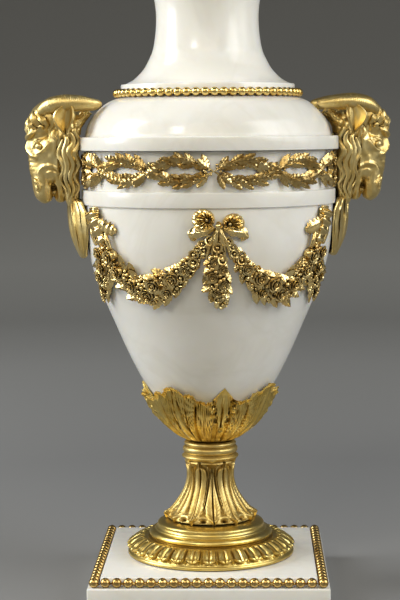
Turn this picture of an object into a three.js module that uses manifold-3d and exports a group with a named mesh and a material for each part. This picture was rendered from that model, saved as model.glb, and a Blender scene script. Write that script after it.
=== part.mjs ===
// Mantel urn: a white marble vase on a square plinth, mounted in gilt bronze with two rams' heads.
// Millimetres, +Z up, origin at the middle of the plinth's underside.
import * as THREE from 'three';
import { mergeVertices } from 'three/addons/utils/BufferGeometryUtils.js';
import Module from 'manifold-3d';

const wasm = await Module();
wasm.setup();

// ---- driving dimensions ----
const gap = 0.3; // clearance kept between touching pieces
const vaseTurn = 5.4; // degrees, the vase is screwed down slightly turned on its plinth
const stemTurn = 26.6; // degrees, one of the stem's eight leaves
const cupTurn = 13.8; // degrees, one of the cup's plain leaves

const plinth = { half: 69.8, height: 22, ledgeDrop: 5, ledgeHalf: 62.6, edge: 1.2 };
const plinthBead = { radius: 2.8, half: 65.9, perSide: 21, waist: 0.5 };
const neckBead = { radius: 2.5, ring: 54.1, count: 64, z: 278.9, waist: 0.5 };

const marbleSides = 24;
const wall = 9.5; // marble wall thickness
const joint = { body: 244.4, shoulder: 276.6 }; // heights of the two marble joints above the plinth
const neckBore = 23;
const lip = { radius: 46.5, height: 363, land: 7.5 };
const laurel = { swing: 6.4, waves: 12, clear: 13 }; // clear: degrees kept free beside a ram's head

// Heights below are above the plinth's top face. Outlines are [radius, height].
const bodyOutline = [
  [0, 75.4], [18, 78.6], [28.2, 86], [38.4, 103], [50.2, 126.4], [62.7, 155.5], [68.2, 170],
  [72.6, 188], [74.4, 212.7], [75.8, 213.2], [75.8, 221.3], [73.2, 221.6], [73.2, joint.body],
];
const bodyInside = [
  [73.2 - wall, joint.body], [74.4 - wall, 206], [50.6, 145], [27, 101], [0, 88],
];
const shoulderOutline = [
  [77.8, joint.body + gap], [77.8, 252.5], [73.8, 252.8], [71.6, 260], [67, 266.4],
  [61.4, 271.9], [53, joint.shoulder],
];
const shoulderInside = [
  [neckBore, joint.shoulder], [neckBore, 269], [50, 262], [64, joint.body + gap],
];
const neckOutline = [
  [51.4, joint.shoulder + gap], [51.7, 283.2], [49.1, 283.4], [42.6, 287.4], [37.3, 293],
  [33, 301.5], [30.6, 313], [30.8, 328], [34.4, 342], [44.2, 355.8], [lip.radius, 356.6],
  [lip.radius, lip.height],
];
const neckInside = [
  [lip.radius - lip.land, lip.height], [28.5, 345], [22, 322], [neckBore, joint.shoulder + gap],
];
const footOutline = [
  [0, gap], [50.5, gap], [50.5, 2.6], [49, 4.4], [45.2, 8.4], [38.4, 10.2], [36, 10.4],
  [37.3, 12.6], [33.6, 15.4], [31.9, 19], [27, 21.8], [0, 22.2],
];
const stemOutline = [
  [0, 22.5], [26, 22.6], [24.6, 25.4], [20.3, 31], [16.6, 37.6], [14.2, 46], [14.8, 55],
  [17.1, 59.4], [15.2, 61.4], [16.5, 63.8], [14.8, 66.2], [15.4, 67.6], [0, 69.2],
];
const cupOutline = [
  [15.4, 69.5], [23.4, 74.9], [29.8, 80.4], [34.8, 88], [38.2, 97], [41.2, 106.4],
];

// ---- geometry helpers ----
const radians = THREE.MathUtils.degToRad;

// Straight-line interpolation of an outline's radius at a height.
function radiusAt(outline, z) {
  for (let i = 1; i < outline.length; i++) {
    const [r0, z0] = outline[i - 1];
    const [r1, z1] = outline[i];
    if (z <= z1 && z1 > z0) return r0 + (r1 - r0) * THREE.MathUtils.clamp((z - z0) / (z1 - z0), 0, 1);
  }
  return outline[outline.length - 1][0];
}

// A closed solid from any three.js geometry.
function toSolid(geometry) {
  const bare = geometry.index ? geometry.clone() : geometry;
  bare.deleteAttribute('normal');
  bare.deleteAttribute('uv');
  const merged = mergeVertices(bare, 1e-4);
  const points = merged.getAttribute('position').array;
  const index = [];
  const raw = merged.index.array;
  for (let i = 0; i < raw.length; i += 3) {
    const [a, b, c] = [raw[i], raw[i + 1], raw[i + 2]];
    if (a !== b && b !== c && c !== a) index.push(a, b, c);
  }
  let volume = 0;
  const at = (i) => new THREE.Vector3().fromArray(points, 3 * i);
  for (let i = 0; i < index.length; i += 3) {
    volume += at(index[i]).dot(at(index[i + 1]).cross(at(index[i + 2])));
  }
  if (volume < 0) {
    for (let i = 0; i < index.length; i += 3) [index[i], index[i + 1]] = [index[i + 1], index[i]];
  }
  return new wasm.Manifold(new wasm.Mesh({
    numProp: 3,
    vertProperties: new Float32Array(points),
    triVerts: new Uint32Array(index),
  }));
}

function toGeometry(solid) {
  const mesh = solid.getMesh();
  const geometry = new THREE.BufferGeometry();
  const points = [];
  for (let i = 0; i < mesh.numVert; i++) {
    for (let k = 0; k < 3; k++) points.push(mesh.vertProperties[i * mesh.numProp + k]);
  }
  geometry.setAttribute('position', new THREE.Float32BufferAttribute(points, 3));
  geometry.setIndex([...mesh.triVerts]);
  return geometry;
}

function joinAll(solids) {
  return solids.reduce((whole, solid) => whole.add(solid));
}

// Turns an outline about the Z axis.
function turned(outline, sides) {
  const profile = outline.map(([r, z]) => new THREE.Vector2(r, z));
  const geometry = new THREE.LatheGeometry(profile, sides);
  return geometry.rotateX(Math.PI / 2);
}

function reshape(geometry, move) {
  const place = geometry.getAttribute('position');
  const point = new THREE.Vector3();
  for (let i = 0; i < place.count; i++) {
    point.fromBufferAttribute(place, i);
    move(point);
    place.setXYZ(i, point.x, point.y, point.z);
  }
  return geometry;
}

// Rewrites each vertex in radius, angle and height; angle 0 is the front, positive towards +X.
function carve(geometry, change) {
  return reshape(geometry, (point) => {
    const r = Math.hypot(point.x, point.y);
    if (r < 1e-3) return;
    const angle = Math.atan2(point.x, -point.y);
    const [newR, newZ] = change(r, angle, point.z);
    point.set(newR * Math.sin(angle), -newR * Math.cos(angle), newZ);
  });
}

// A tapering limb: an oval section swept along a curve. sizes are [half width, half depth] along it,
// the width lies in the direction of side, and lump scales the section at a place along and round it.
function limb(places, sizes, sides, steps, side, lump = () => 1) {
  const curve = new THREE.CatmullRomCurve3(places.map((p) => new THREE.Vector3(...p)));
  const geometry = new THREE.CylinderGeometry(1, 1, 1, sides, steps);
  const across = new THREE.Vector3(...side);
  return reshape(geometry, (point) => {
    const t = THREE.MathUtils.clamp(0.5 - point.y, 0, 1);
    const along = curve.getTangent(t);
    const wide = across.clone().addScaledVector(along, -across.dot(along)).normalize();
    const deep = new THREE.Vector3().crossVectors(along, wide);
    const k = Math.min(t * (sizes.length - 1), sizes.length - 1.0001);
    const [w0, d0] = sizes[Math.floor(k)];
    const [w1, d1] = sizes[Math.floor(k) + 1];
    const part = k - Math.floor(k);
    const middle = curve.getPoint(t);
    const swell = lump(t, Math.atan2(point.z, point.x));
    middle.addScaledVector(wide, point.x * swell * (w0 + (w1 - w0) * part));
    middle.addScaledVector(deep, point.z * swell * (d0 + (d1 - d0) * part));
    point.copy(middle);
  });
}

// The vase's outside, which everything mounted on it follows.
const vaseOutline = [...bodyOutline, ...shoulderOutline];

function onVase(degrees, z, stand) {
  const r = radiusAt(vaseOutline, z) + stand;
  return [r * Math.sin(radians(degrees)), -r * Math.cos(radians(degrees)), z];
}

// Keeps a mount's back off the marble: it bridges the frieze's recess from fillet to fillet.
function fitted(geometry) {
  const clearance = gap + 0.15;
  return reshape(geometry, (point) => {
    const besideFillets = point.z > 212.4 && point.z < 262;
    const r = (besideFillets ? shoulderOutline[0][0] : radiusAt(vaseOutline, point.z)) + clearance;
    const now = Math.hypot(point.x, point.y);
    if (now < r) point.set(point.x * r / now, point.y * r / now, point.z);
  });
}

// A flat facetted blossom, berry or leaf laid on the vase. turn is its angle from level.
function boss(geometry, degrees, z, stand, size, turn) {
  geometry.scale(size[0], size[1], size[2]);
  geometry.rotateY(radians(-turn));
  geometry.rotateZ(radians(degrees));
  geometry.translate(...onVase(degrees, z, stand));
  return geometry;
}

const flower = (degrees, z, radius, stand) =>
  boss(new THREE.IcosahedronGeometry(1, 0), degrees, z, stand, [radius, radius * 0.8, radius], 0);
const leaf = (degrees, z, length, width, turn, stand, thick) =>
  boss(new THREE.OctahedronGeometry(1, 0), degrees, z, stand, [length / 2, thick, width / 2], turn);

// ---- plinth ----
function plinthBlock() {
  const layer = (half, low, high) => {
    const shape = new THREE.Shape();
    shape.moveTo(-half, -half);
    shape.lineTo(half, -half);
    shape.lineTo(half, half);
    shape.lineTo(-half, half);
    shape.closePath();
    const slab = new THREE.ExtrudeGeometry(shape, {
      depth: high - low - 2 * plinth.edge, bevelThickness: plinth.edge, bevelSize: plinth.edge,
      bevelOffset: -plinth.edge, bevelSegments: 1,
    });
    return toSolid(slab.translate(0, 0, low + plinth.edge));
  };
  const top = plinth.height;
  const lower = layer(plinth.half, 0, top - plinth.ledgeDrop);
  return toGeometry(lower.add(layer(plinth.ledgeHalf, top - 2 * plinth.ledgeDrop, top)));
}

// A closed chain of beads: a three-sided section swept round a loop, full at each bead's middle
// and thin between two beads. at(i) gives the middle and the outward direction of station i.
function beadChain(count, radius, waist, at) {
  const chain = new THREE.TorusGeometry(1, 0.5, 3, 2 * count);
  const ends = 2 * count;
  return reshape(chain, (point) => {
    const turn = Math.atan2(point.y, point.x) / (2 * Math.PI);
    const station = (Math.round(turn * ends) + ends) % ends;
    const [middle, outward] = at(station);
    const size = station % 2 === 0 ? radius : radius * waist;
    const reach = (Math.hypot(point.x, point.y) - 1) / 0.5;
    const rise = point.z / 0.5;
    point.set(middle.x + outward.x * reach * size, middle.y + outward.y * reach * size,
      middle.z + rise * size);
  });
}

// Beads in a rebate round the plinth's top edge.
function plinthBeads() {
  const { radius, half, perSide, waist } = plinthBead;
  const perRow = 2 * (perSide - 1);
  const pitch = (2 * half) / perRow;
  const z = plinth.height - plinth.ledgeDrop + gap + radius * Math.sin(Math.PI / 3);
  const corner = new THREE.Vector2(-half, -half);
  return beadChain(2 * perRow, radius, waist, (station) => {
    const row = Math.floor(station / perRow);
    const along = (station % perRow) * pitch;
    const turn = row * Math.PI / 2;
    const spot = corner.clone().add(new THREE.Vector2(along, 0)).rotateAround(new THREE.Vector2(), turn);
    const mitre = station % perRow === 0 ? [-1, -1] : [0, -1];
    const outward = new THREE.Vector2(...mitre).rotateAround(new THREE.Vector2(), turn);
    return [new THREE.Vector3(spot.x, spot.y, z), outward];
  });
}

// ---- foot: disc, sloping band of upright leaves, torus and shallow dish ----
function foot() {
  const leaves = 16;
  return carve(turned(footOutline, 2 * leaves), (r, angle, z) => {
    if (z < 4 || r < 40) return [r, z];
    const crest = Math.cos(leaves * angle) * 0.8;
    return [r + crest, z + crest * 0.6];
  });
}

// ---- stem: eight tongue leaves rising from pointed tips, below a moulded collar ----
function stem() {
  const sides = 32;
  return carve(turned(stemOutline, sides), (r, angle, z) => {
    if (z > 57.5 || r < 13 || z < 22.55) return [r, z];
    const spread = THREE.MathUtils.clamp((50 - z) / 25, 0, 1);
    const tongue = Math.cos(8 * angle);
    const between = Math.cos(16 * angle);
    const tip = z < 23 ? 1.6 * between : 0;
    return [r + 0.9 * tongue * (1 - 0.6 * spread) + 1.1 * between * spread + tip, z];
  });
}

// ---- leaf cup: four broad acanthus leaves with four plain ones between ----
const cupFloor = bodyOutline[0][1] - gap;

function cupEdge(angle) {
  const eighth = Math.PI / 4;
  const place = angle / eighth;
  const nearest = Math.round(place);
  const off = Math.abs(place - nearest) * 45;
  const broad = Math.abs(nearest) % 2 === 1;
  if (broad) return 106.4 - 0.012 * off * off - (off > 15 ? (off - 15) * 0.7 : 0);
  return 106.4 - 0.45 * off;
}

function leafCup() {
  const sides = 48;
  const low = 86.4;
  const high = 106.4;
  const inner = 0.8;
  const inside = [[28.2 + inner, 86], [18 + inner, 78.1], [0, cupFloor]];
  const rim = [radiusAt(bodyOutline, high) + inner, high];
  return carve(turned([[0, cupOutline[0][1]], ...cupOutline, rim, ...inside], sides), (r, angle, z) => {
    if (z < low) return [r, z];
    const newZ = low + (z - low) * (cupEdge(angle) - low) / (high - low);
    const nearest = radiusAt(bodyOutline, newZ) + inner;
    if (r < radiusAt(bodyOutline, z) + inner + 0.1) return [nearest, newZ];
    const flute = 0.5 * Math.cos(24 * angle);
    return [Math.max(radiusAt(cupOutline, newZ) + flute, nearest + 1.2), newZ];
  });
}

// ---- neck beads ----
function neckBeads() {
  const { radius, ring, count, z, waist } = neckBead;
  return beadChain(count, radius, waist, (station) => {
    const turn = station * Math.PI / count;
    const outward = new THREE.Vector2(Math.cos(turn), Math.sin(turn));
    return [new THREE.Vector3(ring * outward.x, ring * outward.y, z), outward];
  });
}

// ---- laurel frieze: two leafy branches that wave and cross; one casting on each side ----
function laurelFrieze() {
  const middle = (joint.body + 221.6) / 2;
  const reach = 90 - laurel.clear;
  const wave = 360 / laurel.waves;
  const thick = 1.4;
  const solids = [];
  for (const up of [1, -1]) {
    const height = (degrees) => middle + up * laurel.swing * Math.sin(radians(degrees * 180 / wave));
    const points = [];
    for (let degrees = -reach; degrees <= reach + 0.1; degrees += reach / 10) {
      points.push(onVase(degrees, height(degrees), thick + gap + 0.4));
    }
    const leaves = (t) => 0.6 + 0.4 * Math.cos(2 * Math.PI * 11 * t);
    const branch = limb(points, [[3.8, thick], [3.8, thick]], 4, 22, [0, 0, 1], leaves);
    solids.push(toSolid(branch));
  }
  for (const side of [1, -1]) {
    const knot = new THREE.IcosahedronGeometry(1, 0);
    solids.push(toSolid(boss(knot, side * reach, middle, 3, [5, 2.4, 9.4], 0)));
  }
  return toGeometry(joinAll(solids));
}

// ---- garland: bow and hanging pendant in the middle, a swag and a side drop to each side ----
function garland() {
  const solids = [];
  const bunch = (t, turn) => 1 + 0.13 * Math.cos(34 * t + 2 * turn) + 0.07 * Math.cos(3 * turn);
  const lay = (stations, sizes, sides, steps, side) => {
    const places = stations.map((s) => onVase(...s));
    solids.push(toSolid(fitted(limb(places, sizes, sides, steps, side, bunch))));
  };
  const vertical = [0, 0, 1];
  const sideways = [1, 0, 0];
  for (const way of [1, -1]) {
    const across = [Math.cos(radians(58)), way * Math.sin(radians(58)), 0];
    lay([[way, 197, 2.5], [way * 8, 184, 4], [way * 19, 171, 4.6], [way * 32, 165.5, 4.6],
      [way * 44, 171.5, 4.4], [way * 52, 181, 4]],
    [[1.6, 1.6], [3.6, 3.4], [7, 5], [8.2, 5.4], [6.4, 4.8], [4, 3.6]], 6, 9, vertical);
    lay([[way * 55, 212, 2], [way * 56, 203, 3.4], [way * 54.5, 192, 3], [way * 53, 181, 5],
      [way * 58, 170, 3.6], [way * 66, 158, 1.8]],
    [[5, 2.4], [3.6, 2.6], [3, 2.6], [9, 5.4], [5, 3.6], [1.6, 1.2]], 6, 7, across);
    solids.push(toSolid(fitted(flower(way * 20, 171.5, 6.4, 5.4))));
    const loop = new THREE.TorusGeometry(4.6, 2.1, 4, 6);
    loop.scale(1, 1.15, 1.3);
    loop.rotateX(Math.PI / 2);
    loop.rotateY(radians(way * 30));
    loop.rotateZ(radians(way * 6));
    loop.translate(...onVase(way * 6, 206.6, 3.4));
    solids.push(toSolid(fitted(loop)));
    solids.push(toSolid(fitted(leaf(way * 8.6, 200.6, 15, 6, way * -12, 2.4, 2))));
  }
  lay([[0, 207, 3], [0, 200, 3.4], [-0.4, 190, 3.4], [-0.6, 177, 3.6], [0.6, 166, 2.4],
    [1.6, 157, 1.2]],
  [[2, 2.4], [3, 3], [4.8, 3.6], [8.4, 5.2], [6, 3.8], [1, 1]], 6, 9, sideways);
  return toGeometry(joinAll(solids));
}

// ---- ram's head, facing +X: u is outward, v sideways, z up ----
function ramHead() {
  const solids = [];
  const add = (places, sizes, sides, steps, side, lump) => {
    solids.push(toSolid(fitted(limb(places, sizes, sides, steps, side, lump))));
  };
  const level = [0, 1, 0];
  // skull and muzzle, from the crown down to the lips
  add([[84, 0, 272], [91, 0, 266], [94.6, 0, 256], [94.8, 0, 246], [94.2, 0, 236], [94.6, 0, 226],
    [94, 0, 218.5], [92.5, 0, 214]],
  [[8, 5], [16, 13.4], [17.5, 15.4], [16.5, 14.4], [12, 12.6], [10.6, 10.4], [10, 8.6], [5, 4]],
  8, 9, level);
  // wool of the neck behind the jaw, parted into locks, down to the lower fillet
  const locks = (t, turn) => 1 + 0.1 * Math.cos(5 * turn + 5 * t);
  add([[80, 0, 270], [82, 0, 258], [82, 0, 242], [81.4, 0, 226], [81, 0, 212.6]],
    [[9, 5], [19, 6], [20, 6.4], [18, 6], [9, 4]], 10, 5, level, locks);
  // lambrequin of skin that hangs down the bowl
  add([[80, 0, 217], [78.6, 0, 206], [77.6, 0, 196], [75, 0, 186], [72.6, 0, 178]],
    [[13, 4.4], [13, 6.4], [11, 5.6], [8, 4.2], [3, 1.6]], 6, 4, level);
  for (const way of [1, -1]) {
    // horn, from the brow back over the crown to its tip on the dome
    add([[103, way * 8, 264], [98.5, way * 13, 270], [90, way * 18, 273.4], [80, way * 20.5, 273.6],
      [71, way * 20.5, 272], [63.4, way * 19, 271.4]],
    [[3.4, 3], [5.6, 4.6], [7, 5], [6.4, 4.4], [4.8, 3.6], [2.4, 2]], 6, 7, level);
    // ear below the horn
    add([[83.5, way * 17, 271], [85, way * 22.5, 263], [86.5, way * 21, 252.6]],
      [[4, 2.4], [6.2, 2.2], [1, 0.8]], 4, 3, [1, 0, 0]);
  }
  let head = joinAll(solids);
  for (const way of [1, -1]) {
    const mouth = limb([[93.4, way * 14, 225], [93.8, way * 12.4, 218], [94.4, way * 11, 210]],
      [[1.6, 3], [2.2, 3.6], [2.4, 4]], 4, 2, [1, 0, 0]);
    head = head.subtract(toSolid(mouth));
  }
  return toGeometry(head);
}

// ---- materials ----
const marble = new THREE.MeshStandardMaterial({ color: 0xe4e2d8, roughness: 0.22, metalness: 0 });
const gilt = new THREE.MeshStandardMaterial({ color: 0xc9a04e, roughness: 0.3, metalness: 1 });

function piece(name, geometry, material) {
  const mesh = new THREE.Mesh(geometry, material);
  mesh.name = name;
  return mesh;
}

const closedRing = (outline, inside) => [...outline, ...inside, outline[0]];

// ---- assembly ----
const group = new THREE.Group();
group.add(piece('plinth', plinthBlock(), marble));
group.add(piece('plinth_beading', toGeometry(toSolid(plinthBeads())), gilt));

const standing = new THREE.Group();
standing.position.z = plinth.height;
group.add(standing);
standing.add(piece('foot', toGeometry(toSolid(foot())), gilt));
const stemMesh = piece('stem', toGeometry(toSolid(stem())), gilt);
stemMesh.rotation.z = radians(stemTurn);
const cupMesh = piece('leaf_cup', toGeometry(toSolid(leafCup())), gilt);
cupMesh.rotation.z = radians(cupTurn);
standing.add(stemMesh, cupMesh);

const vase = new THREE.Group();
vase.rotation.z = radians(vaseTurn);
standing.add(vase);
const bodyShape = toSolid(turned([...bodyOutline, ...bodyInside], marbleSides));
vase.add(piece('body', toGeometry(bodyShape), marble));
const shoulderShape = toSolid(turned(closedRing(shoulderOutline, shoulderInside), marbleSides));
vase.add(piece('shoulder', toGeometry(shoulderShape), marble));
vase.add(piece('neck_beading', toGeometry(toSolid(neckBeads())), gilt));
const neckShape = toSolid(turned(closedRing(neckOutline, neckInside), marbleSides));
vase.add(piece('neck', toGeometry(neckShape), marble));

const sides = [['front', 0], ['back', 180]];
for (const [name, turn] of sides) {
  const garlandMesh = piece(`garland_${name}`, garland(), gilt);
  const friezeMesh = piece(`laurel_frieze_${name}`, laurelFrieze(), gilt);
  garlandMesh.rotation.z = radians(turn);
  friezeMesh.rotation.z = radians(turn);
  vase.add(garlandMesh, friezeMesh);
}
const handles = [['right', 0], ['left', 180]];
for (const [name, turn] of handles) {
  const head = piece(`ram_head_${name}`, ramHead(), gilt);
  head.rotation.z = radians(turn);
  vase.add(head);
}

export default group;
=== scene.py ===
import math
import random

import bpy
import numpy as np
from mathutils import Matrix, Vector


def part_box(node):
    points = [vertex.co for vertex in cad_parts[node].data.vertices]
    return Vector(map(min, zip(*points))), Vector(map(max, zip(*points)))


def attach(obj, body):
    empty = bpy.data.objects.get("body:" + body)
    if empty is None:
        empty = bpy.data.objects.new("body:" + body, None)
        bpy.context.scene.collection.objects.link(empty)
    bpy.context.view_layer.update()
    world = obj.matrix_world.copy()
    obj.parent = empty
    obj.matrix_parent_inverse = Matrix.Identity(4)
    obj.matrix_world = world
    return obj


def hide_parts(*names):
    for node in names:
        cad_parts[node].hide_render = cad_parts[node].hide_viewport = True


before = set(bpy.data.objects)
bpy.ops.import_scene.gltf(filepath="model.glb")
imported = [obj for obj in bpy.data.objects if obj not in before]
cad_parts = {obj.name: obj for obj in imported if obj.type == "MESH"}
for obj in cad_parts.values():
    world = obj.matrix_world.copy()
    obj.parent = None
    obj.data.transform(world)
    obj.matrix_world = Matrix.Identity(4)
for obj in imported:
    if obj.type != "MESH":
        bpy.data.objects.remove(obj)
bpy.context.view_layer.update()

mm = 0.001
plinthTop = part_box("plinth")[1].z / mm  # heights of all that stands on the plinth are counted from here

# how far each level is turned about the urn's axis, in degrees
turns = {"vase": 5.4, "stem": 35.6, "cup": 13.8}
print("frame loaded, plinth top at", round(plinthTop, 1), "mm")


def pick(*pieces):
    bpy.ops.object.select_all(action="DESELECT")
    for piece in pieces:
        piece.select_set(True)
    bpy.context.view_layer.objects.active = pieces[0]


def fresh(name, add, **settings):
    # adds one object by an operator, with nothing else selected
    bpy.ops.object.select_all(action="DESELECT")
    add(**settings)
    bpy.context.object.name = name
    return bpy.context.object


def editAll(piece):
    pick(piece)
    bpy.ops.object.mode_set(mode="EDIT")
    bpy.ops.mesh.select_all(action="SELECT")


def closeUp(piece, reach=0.02):
    # welds seams and poles, then points every face outwards
    editAll(piece)
    bpy.ops.mesh.remove_doubles(threshold=reach * mm)
    bpy.ops.mesh.normals_make_consistent(inside=False)
    bpy.ops.object.mode_set(mode="OBJECT")
    return piece


def joined(name, pieces):
    pick(*pieces)
    if len(pieces) > 1:
        bpy.ops.object.join()
    pieces[0].name = name
    pieces[0].data.name = name
    return pieces[0]


def copied(piece, place):
    twin = piece.copy()
    twin.data = piece.data.copy()
    bpy.context.collection.objects.link(twin)
    twin.data.transform(place)
    return twin


def useModifier(piece, kind, **settings):
    pick(piece)
    bpy.ops.object.modifier_add(type=kind)
    modifier = piece.modifiers[-1]
    for key, value in settings.items():
        setattr(modifier, key, value)
    bpy.ops.object.modifier_apply(modifier=modifier.name)


def remove(piece):
    pick(piece)
    bpy.ops.object.delete()


def readPoints(piece):
    place = np.empty(len(piece.data.vertices) * 3)
    piece.data.vertices.foreach_get("co", place)
    return place.reshape(-1, 3) / mm


def writePoints(piece, place):
    piece.data.vertices.foreach_set("co", (place * mm).ravel())
    piece.data.update()


def spline(points, count):
    # a smooth run of count points through the given ones
    points = np.array(points, float)
    t = np.linspace(0, 1, count) * (len(points) - 1)
    i = np.minimum(t.astype(int), len(points) - 2)
    f = (t - i)[:, None]
    wide = np.vstack([2 * points[0] - points[1], points, 2 * points[-1] - points[-2]])
    a, b, c, d = wide[i], wide[i + 1], wide[i + 2], wide[i + 3]
    return 0.5 * (2 * b + (c - a) * f + (2 * a - 5 * b + 4 * c - d) * f**2 + (3 * b - a - 3 * c + d) * f**3)


def outlineOf(*runs):
    # joins corner points and smooth runs into one outline of (radius, height)
    return [tuple(map(float, point)) for run in runs for point in run]


def turned(name, outline, steps):
    # draws the outline by extruding one corner, then spins it round the axis
    piece = fresh(name, bpy.ops.mesh.primitive_plane_add, size=mm)
    bpy.ops.object.mode_set(mode="EDIT")
    bpy.ops.mesh.merge(type="CENTER")
    bpy.ops.transform.translate(value=(outline[0][0] * mm, 0, outline[0][1] * mm))
    for before, after in zip(outline, outline[1:]):
        step = ((after[0] - before[0]) * mm, 0, (after[1] - before[1]) * mm)
        bpy.ops.mesh.extrude_region_move(TRANSFORM_OT_translate={"value": step})
    bpy.ops.mesh.select_all(action="SELECT")
    bpy.ops.mesh.spin(steps=steps, angle=math.tau, center=(0, 0, 0), axis=(0, 0, 1))
    bpy.ops.object.mode_set(mode="OBJECT")
    return closeUp(piece, 0.005)


def shaped(name, across, along, place):
    # a grid bent into shape: place(u, v) gives x, y, z in millimetres for u, v from 0 to 1
    piece = fresh(name, bpy.ops.mesh.primitive_grid_add, x_subdivisions=across, y_subdivisions=along, size=1)
    unit = readPoints(piece) * mm + 0.5
    writePoints(piece, np.column_stack(place(unit[:, 0], unit[:, 1])))
    return piece


def carvedRound(name, outline, columns, relief):
    # an outline turned about the axis, raised along its own normal by relief(degrees, radius, height)
    profile = np.array(outline)
    slope = np.gradient(profile, axis=0)
    slope /= np.maximum(np.linalg.norm(slope, axis=1), 1e-9)[:, None]
    rows = len(profile) - 1

    def place(u, v):
        row = np.rint(v * rows).astype(int)
        r, z = profile[row].T
        angle = u * math.tau
        rise = relief(np.degrees(angle), r, z)
        r = np.maximum(r + rise * slope[row, 1], 0)
        z = z - rise * slope[row, 0]
        return r * np.sin(angle), -r * np.cos(angle), z

    return closeUp(shaped(name, columns, rows, place), 0.004)


def limb(path, sizes, sides=10, steps=20, across=(0, 1, 0), lump=None):
    # an oval section carried along a smooth path; sizes are half width (along across) and half depth
    t = np.linspace(0, 1, steps + 1)
    t = 0.5 * t + 0.25 * (1 - np.cos(math.pi * t))  # closer together at the ends, which are rounded
    samples = 200
    fine = spline(path, samples)
    grid = np.linspace(0, 1, samples)
    middle = np.column_stack([np.interp(t, grid, fine[:, k]) for k in range(3)])
    marks = np.linspace(0, 1, len(sizes))
    size = np.column_stack([np.interp(t, marks, np.array(sizes, float)[:, k]) for k in range(2)])
    roundedShare = 0.07
    end = np.clip(np.minimum(t, 1 - t) / roundedShare, 0, 1)
    size *= np.sqrt(1 - (1 - end) ** 2)[:, None]
    run = np.gradient(middle, axis=0)
    run /= np.linalg.norm(run, axis=1)[:, None]
    wide = np.array(across, float) - run * (run @ np.array(across, float))[:, None]
    wide /= np.linalg.norm(wide, axis=1)[:, None]
    deep = np.cross(run, wide)

    def place(u, v):
        row = np.rint(v * steps).astype(int)
        turn = u * math.tau
        swell = lump(t[row], turn) if lump else 1
        sideways = (np.cos(turn) * size[row, 0] * swell)[:, None] * wide[row]
        outwards = (np.sin(turn) * size[row, 1] * swell)[:, None] * deep[row]
        return (middle[row] + sideways + outwards).T

    return shaped("limb", sides, steps, place)


def ball(radius, place, detail=2):
    piece = fresh("ball", bpy.ops.mesh.primitive_ico_sphere_add, subdivisions=detail, radius=radius * mm)
    piece.data.transform(Matrix.Translation(Vector(place) * mm))
    return piece


def smoothShade(piece, degrees=50):
    pick(piece)
    bpy.ops.object.shade_smooth_by_angle(angle=math.radians(degrees))


def colour(code):
    # an sRGB hex colour as the linear values that a shader takes
    parts = [int(code[i : i + 2], 16) / 255 for i in (0, 2, 4)]
    return [c / 12.92 if c <= 0.04045 else ((c + 0.055) / 1.055) ** 2.4 for c in parts] + [1.0]


def addNode(tree, kind, links=None, stops=(), **settings):
    # settings name a node's options or sockets, links feed its sockets and stops fill its colour ramp
    node = tree.nodes.new("ShaderNode" + kind)
    for key, value in settings.items():
        if hasattr(node, key):
            setattr(node, key, value)
        else:
            node.inputs[key.replace("_", " ")].default_value = value
    for key, source in (links or {}).items():
        tree.links.new(source, node.inputs[key])
    for _ in stops[2:]:
        node.color_ramp.elements.new(0.5)
    for k, (spot, shade) in enumerate(stops):
        element = node.color_ramp.elements[k]
        element.position = spot
        element.color = colour(shade) if isinstance(shade, str) else (shade, shade, shade, 1)
    return node


def newMaterial(name):
    material = bpy.data.materials.new(name)
    material.use_nodes = True
    tree = material.node_tree
    shader = tree.nodes["Principled BSDF"]
    place = addNode(tree, "TexCoord").outputs["Object"]
    return material, tree, shader, place


def perSize(size):
    # the scale of a pattern whose features are this many millimetres across
    return 1 / (size * mm)


# millimetres: how wide its clouds, veins and polishing marks are, and how deep light sinks in
marbleFinish = {"cloud": 26, "vein": 70, "polish": 5, "light": 3.5, "rough": (0.16, 0.24),
                "pale": ("f1efe6", "f4f2ea", "f7f6f0"), "grey": "dddacd"}


def polishedMarble():
    # statuary marble, turned and polished: warm white, faintly clouded, light sinks a little way in
    look = marbleFinish
    material, tree, shader, place = newMaterial("polished statuary marble")
    at = {"Vector": place}
    cloud = addNode(tree, "TexNoise", at, Scale=perSize(look["cloud"]), Detail=5.0, Roughness=0.55)
    warp = addNode(tree, "TexNoise", at, Scale=perSize(look["vein"]), Detail=6.0, Distortion=1.6)
    fine = addNode(tree, "TexNoise", at, Scale=perSize(look["polish"]), Detail=3.0)
    tone = addNode(tree, "ValToRGB", {0: cloud.outputs[0]}, tuple(zip((0.3, 0.55, 0.75), look["pale"])))
    vein = addNode(tree, "ValToRGB", {0: warp.outputs[0]}, ((0.44, 0.0), (0.5, 0.2), (0.56, 0.0)))
    rough = addNode(tree, "ValToRGB", {0: fine.outputs[0]}, tuple(zip((0.3, 0.7), look["rough"])))
    grey = addNode(tree, "Mix", {0: vein.outputs[0], 6: tone.outputs[0]}, data_type="RGBA")
    grey.inputs[7].default_value = colour(look["grey"])
    tree.links.new(grey.outputs[2], shader.inputs["Base Color"])
    tree.links.new(rough.outputs[0], shader.inputs["Roughness"])
    shader.inputs["IOR"].default_value = 1.49
    shader.inputs["Subsurface Weight"].default_value = 0.35
    shader.inputs["Subsurface Radius"].default_value = (1.0, 0.85, 0.6)
    shader.inputs["Subsurface Scale"].default_value = look["light"] * mm
    return material


# millimetres of wear patch, casting grain and its height, and how much rougher the hollows are
gilding = {"patch": 9, "grain": 0.9, "height": 0.12, "dull": 0.2, "dullest": 0.75}


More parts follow.
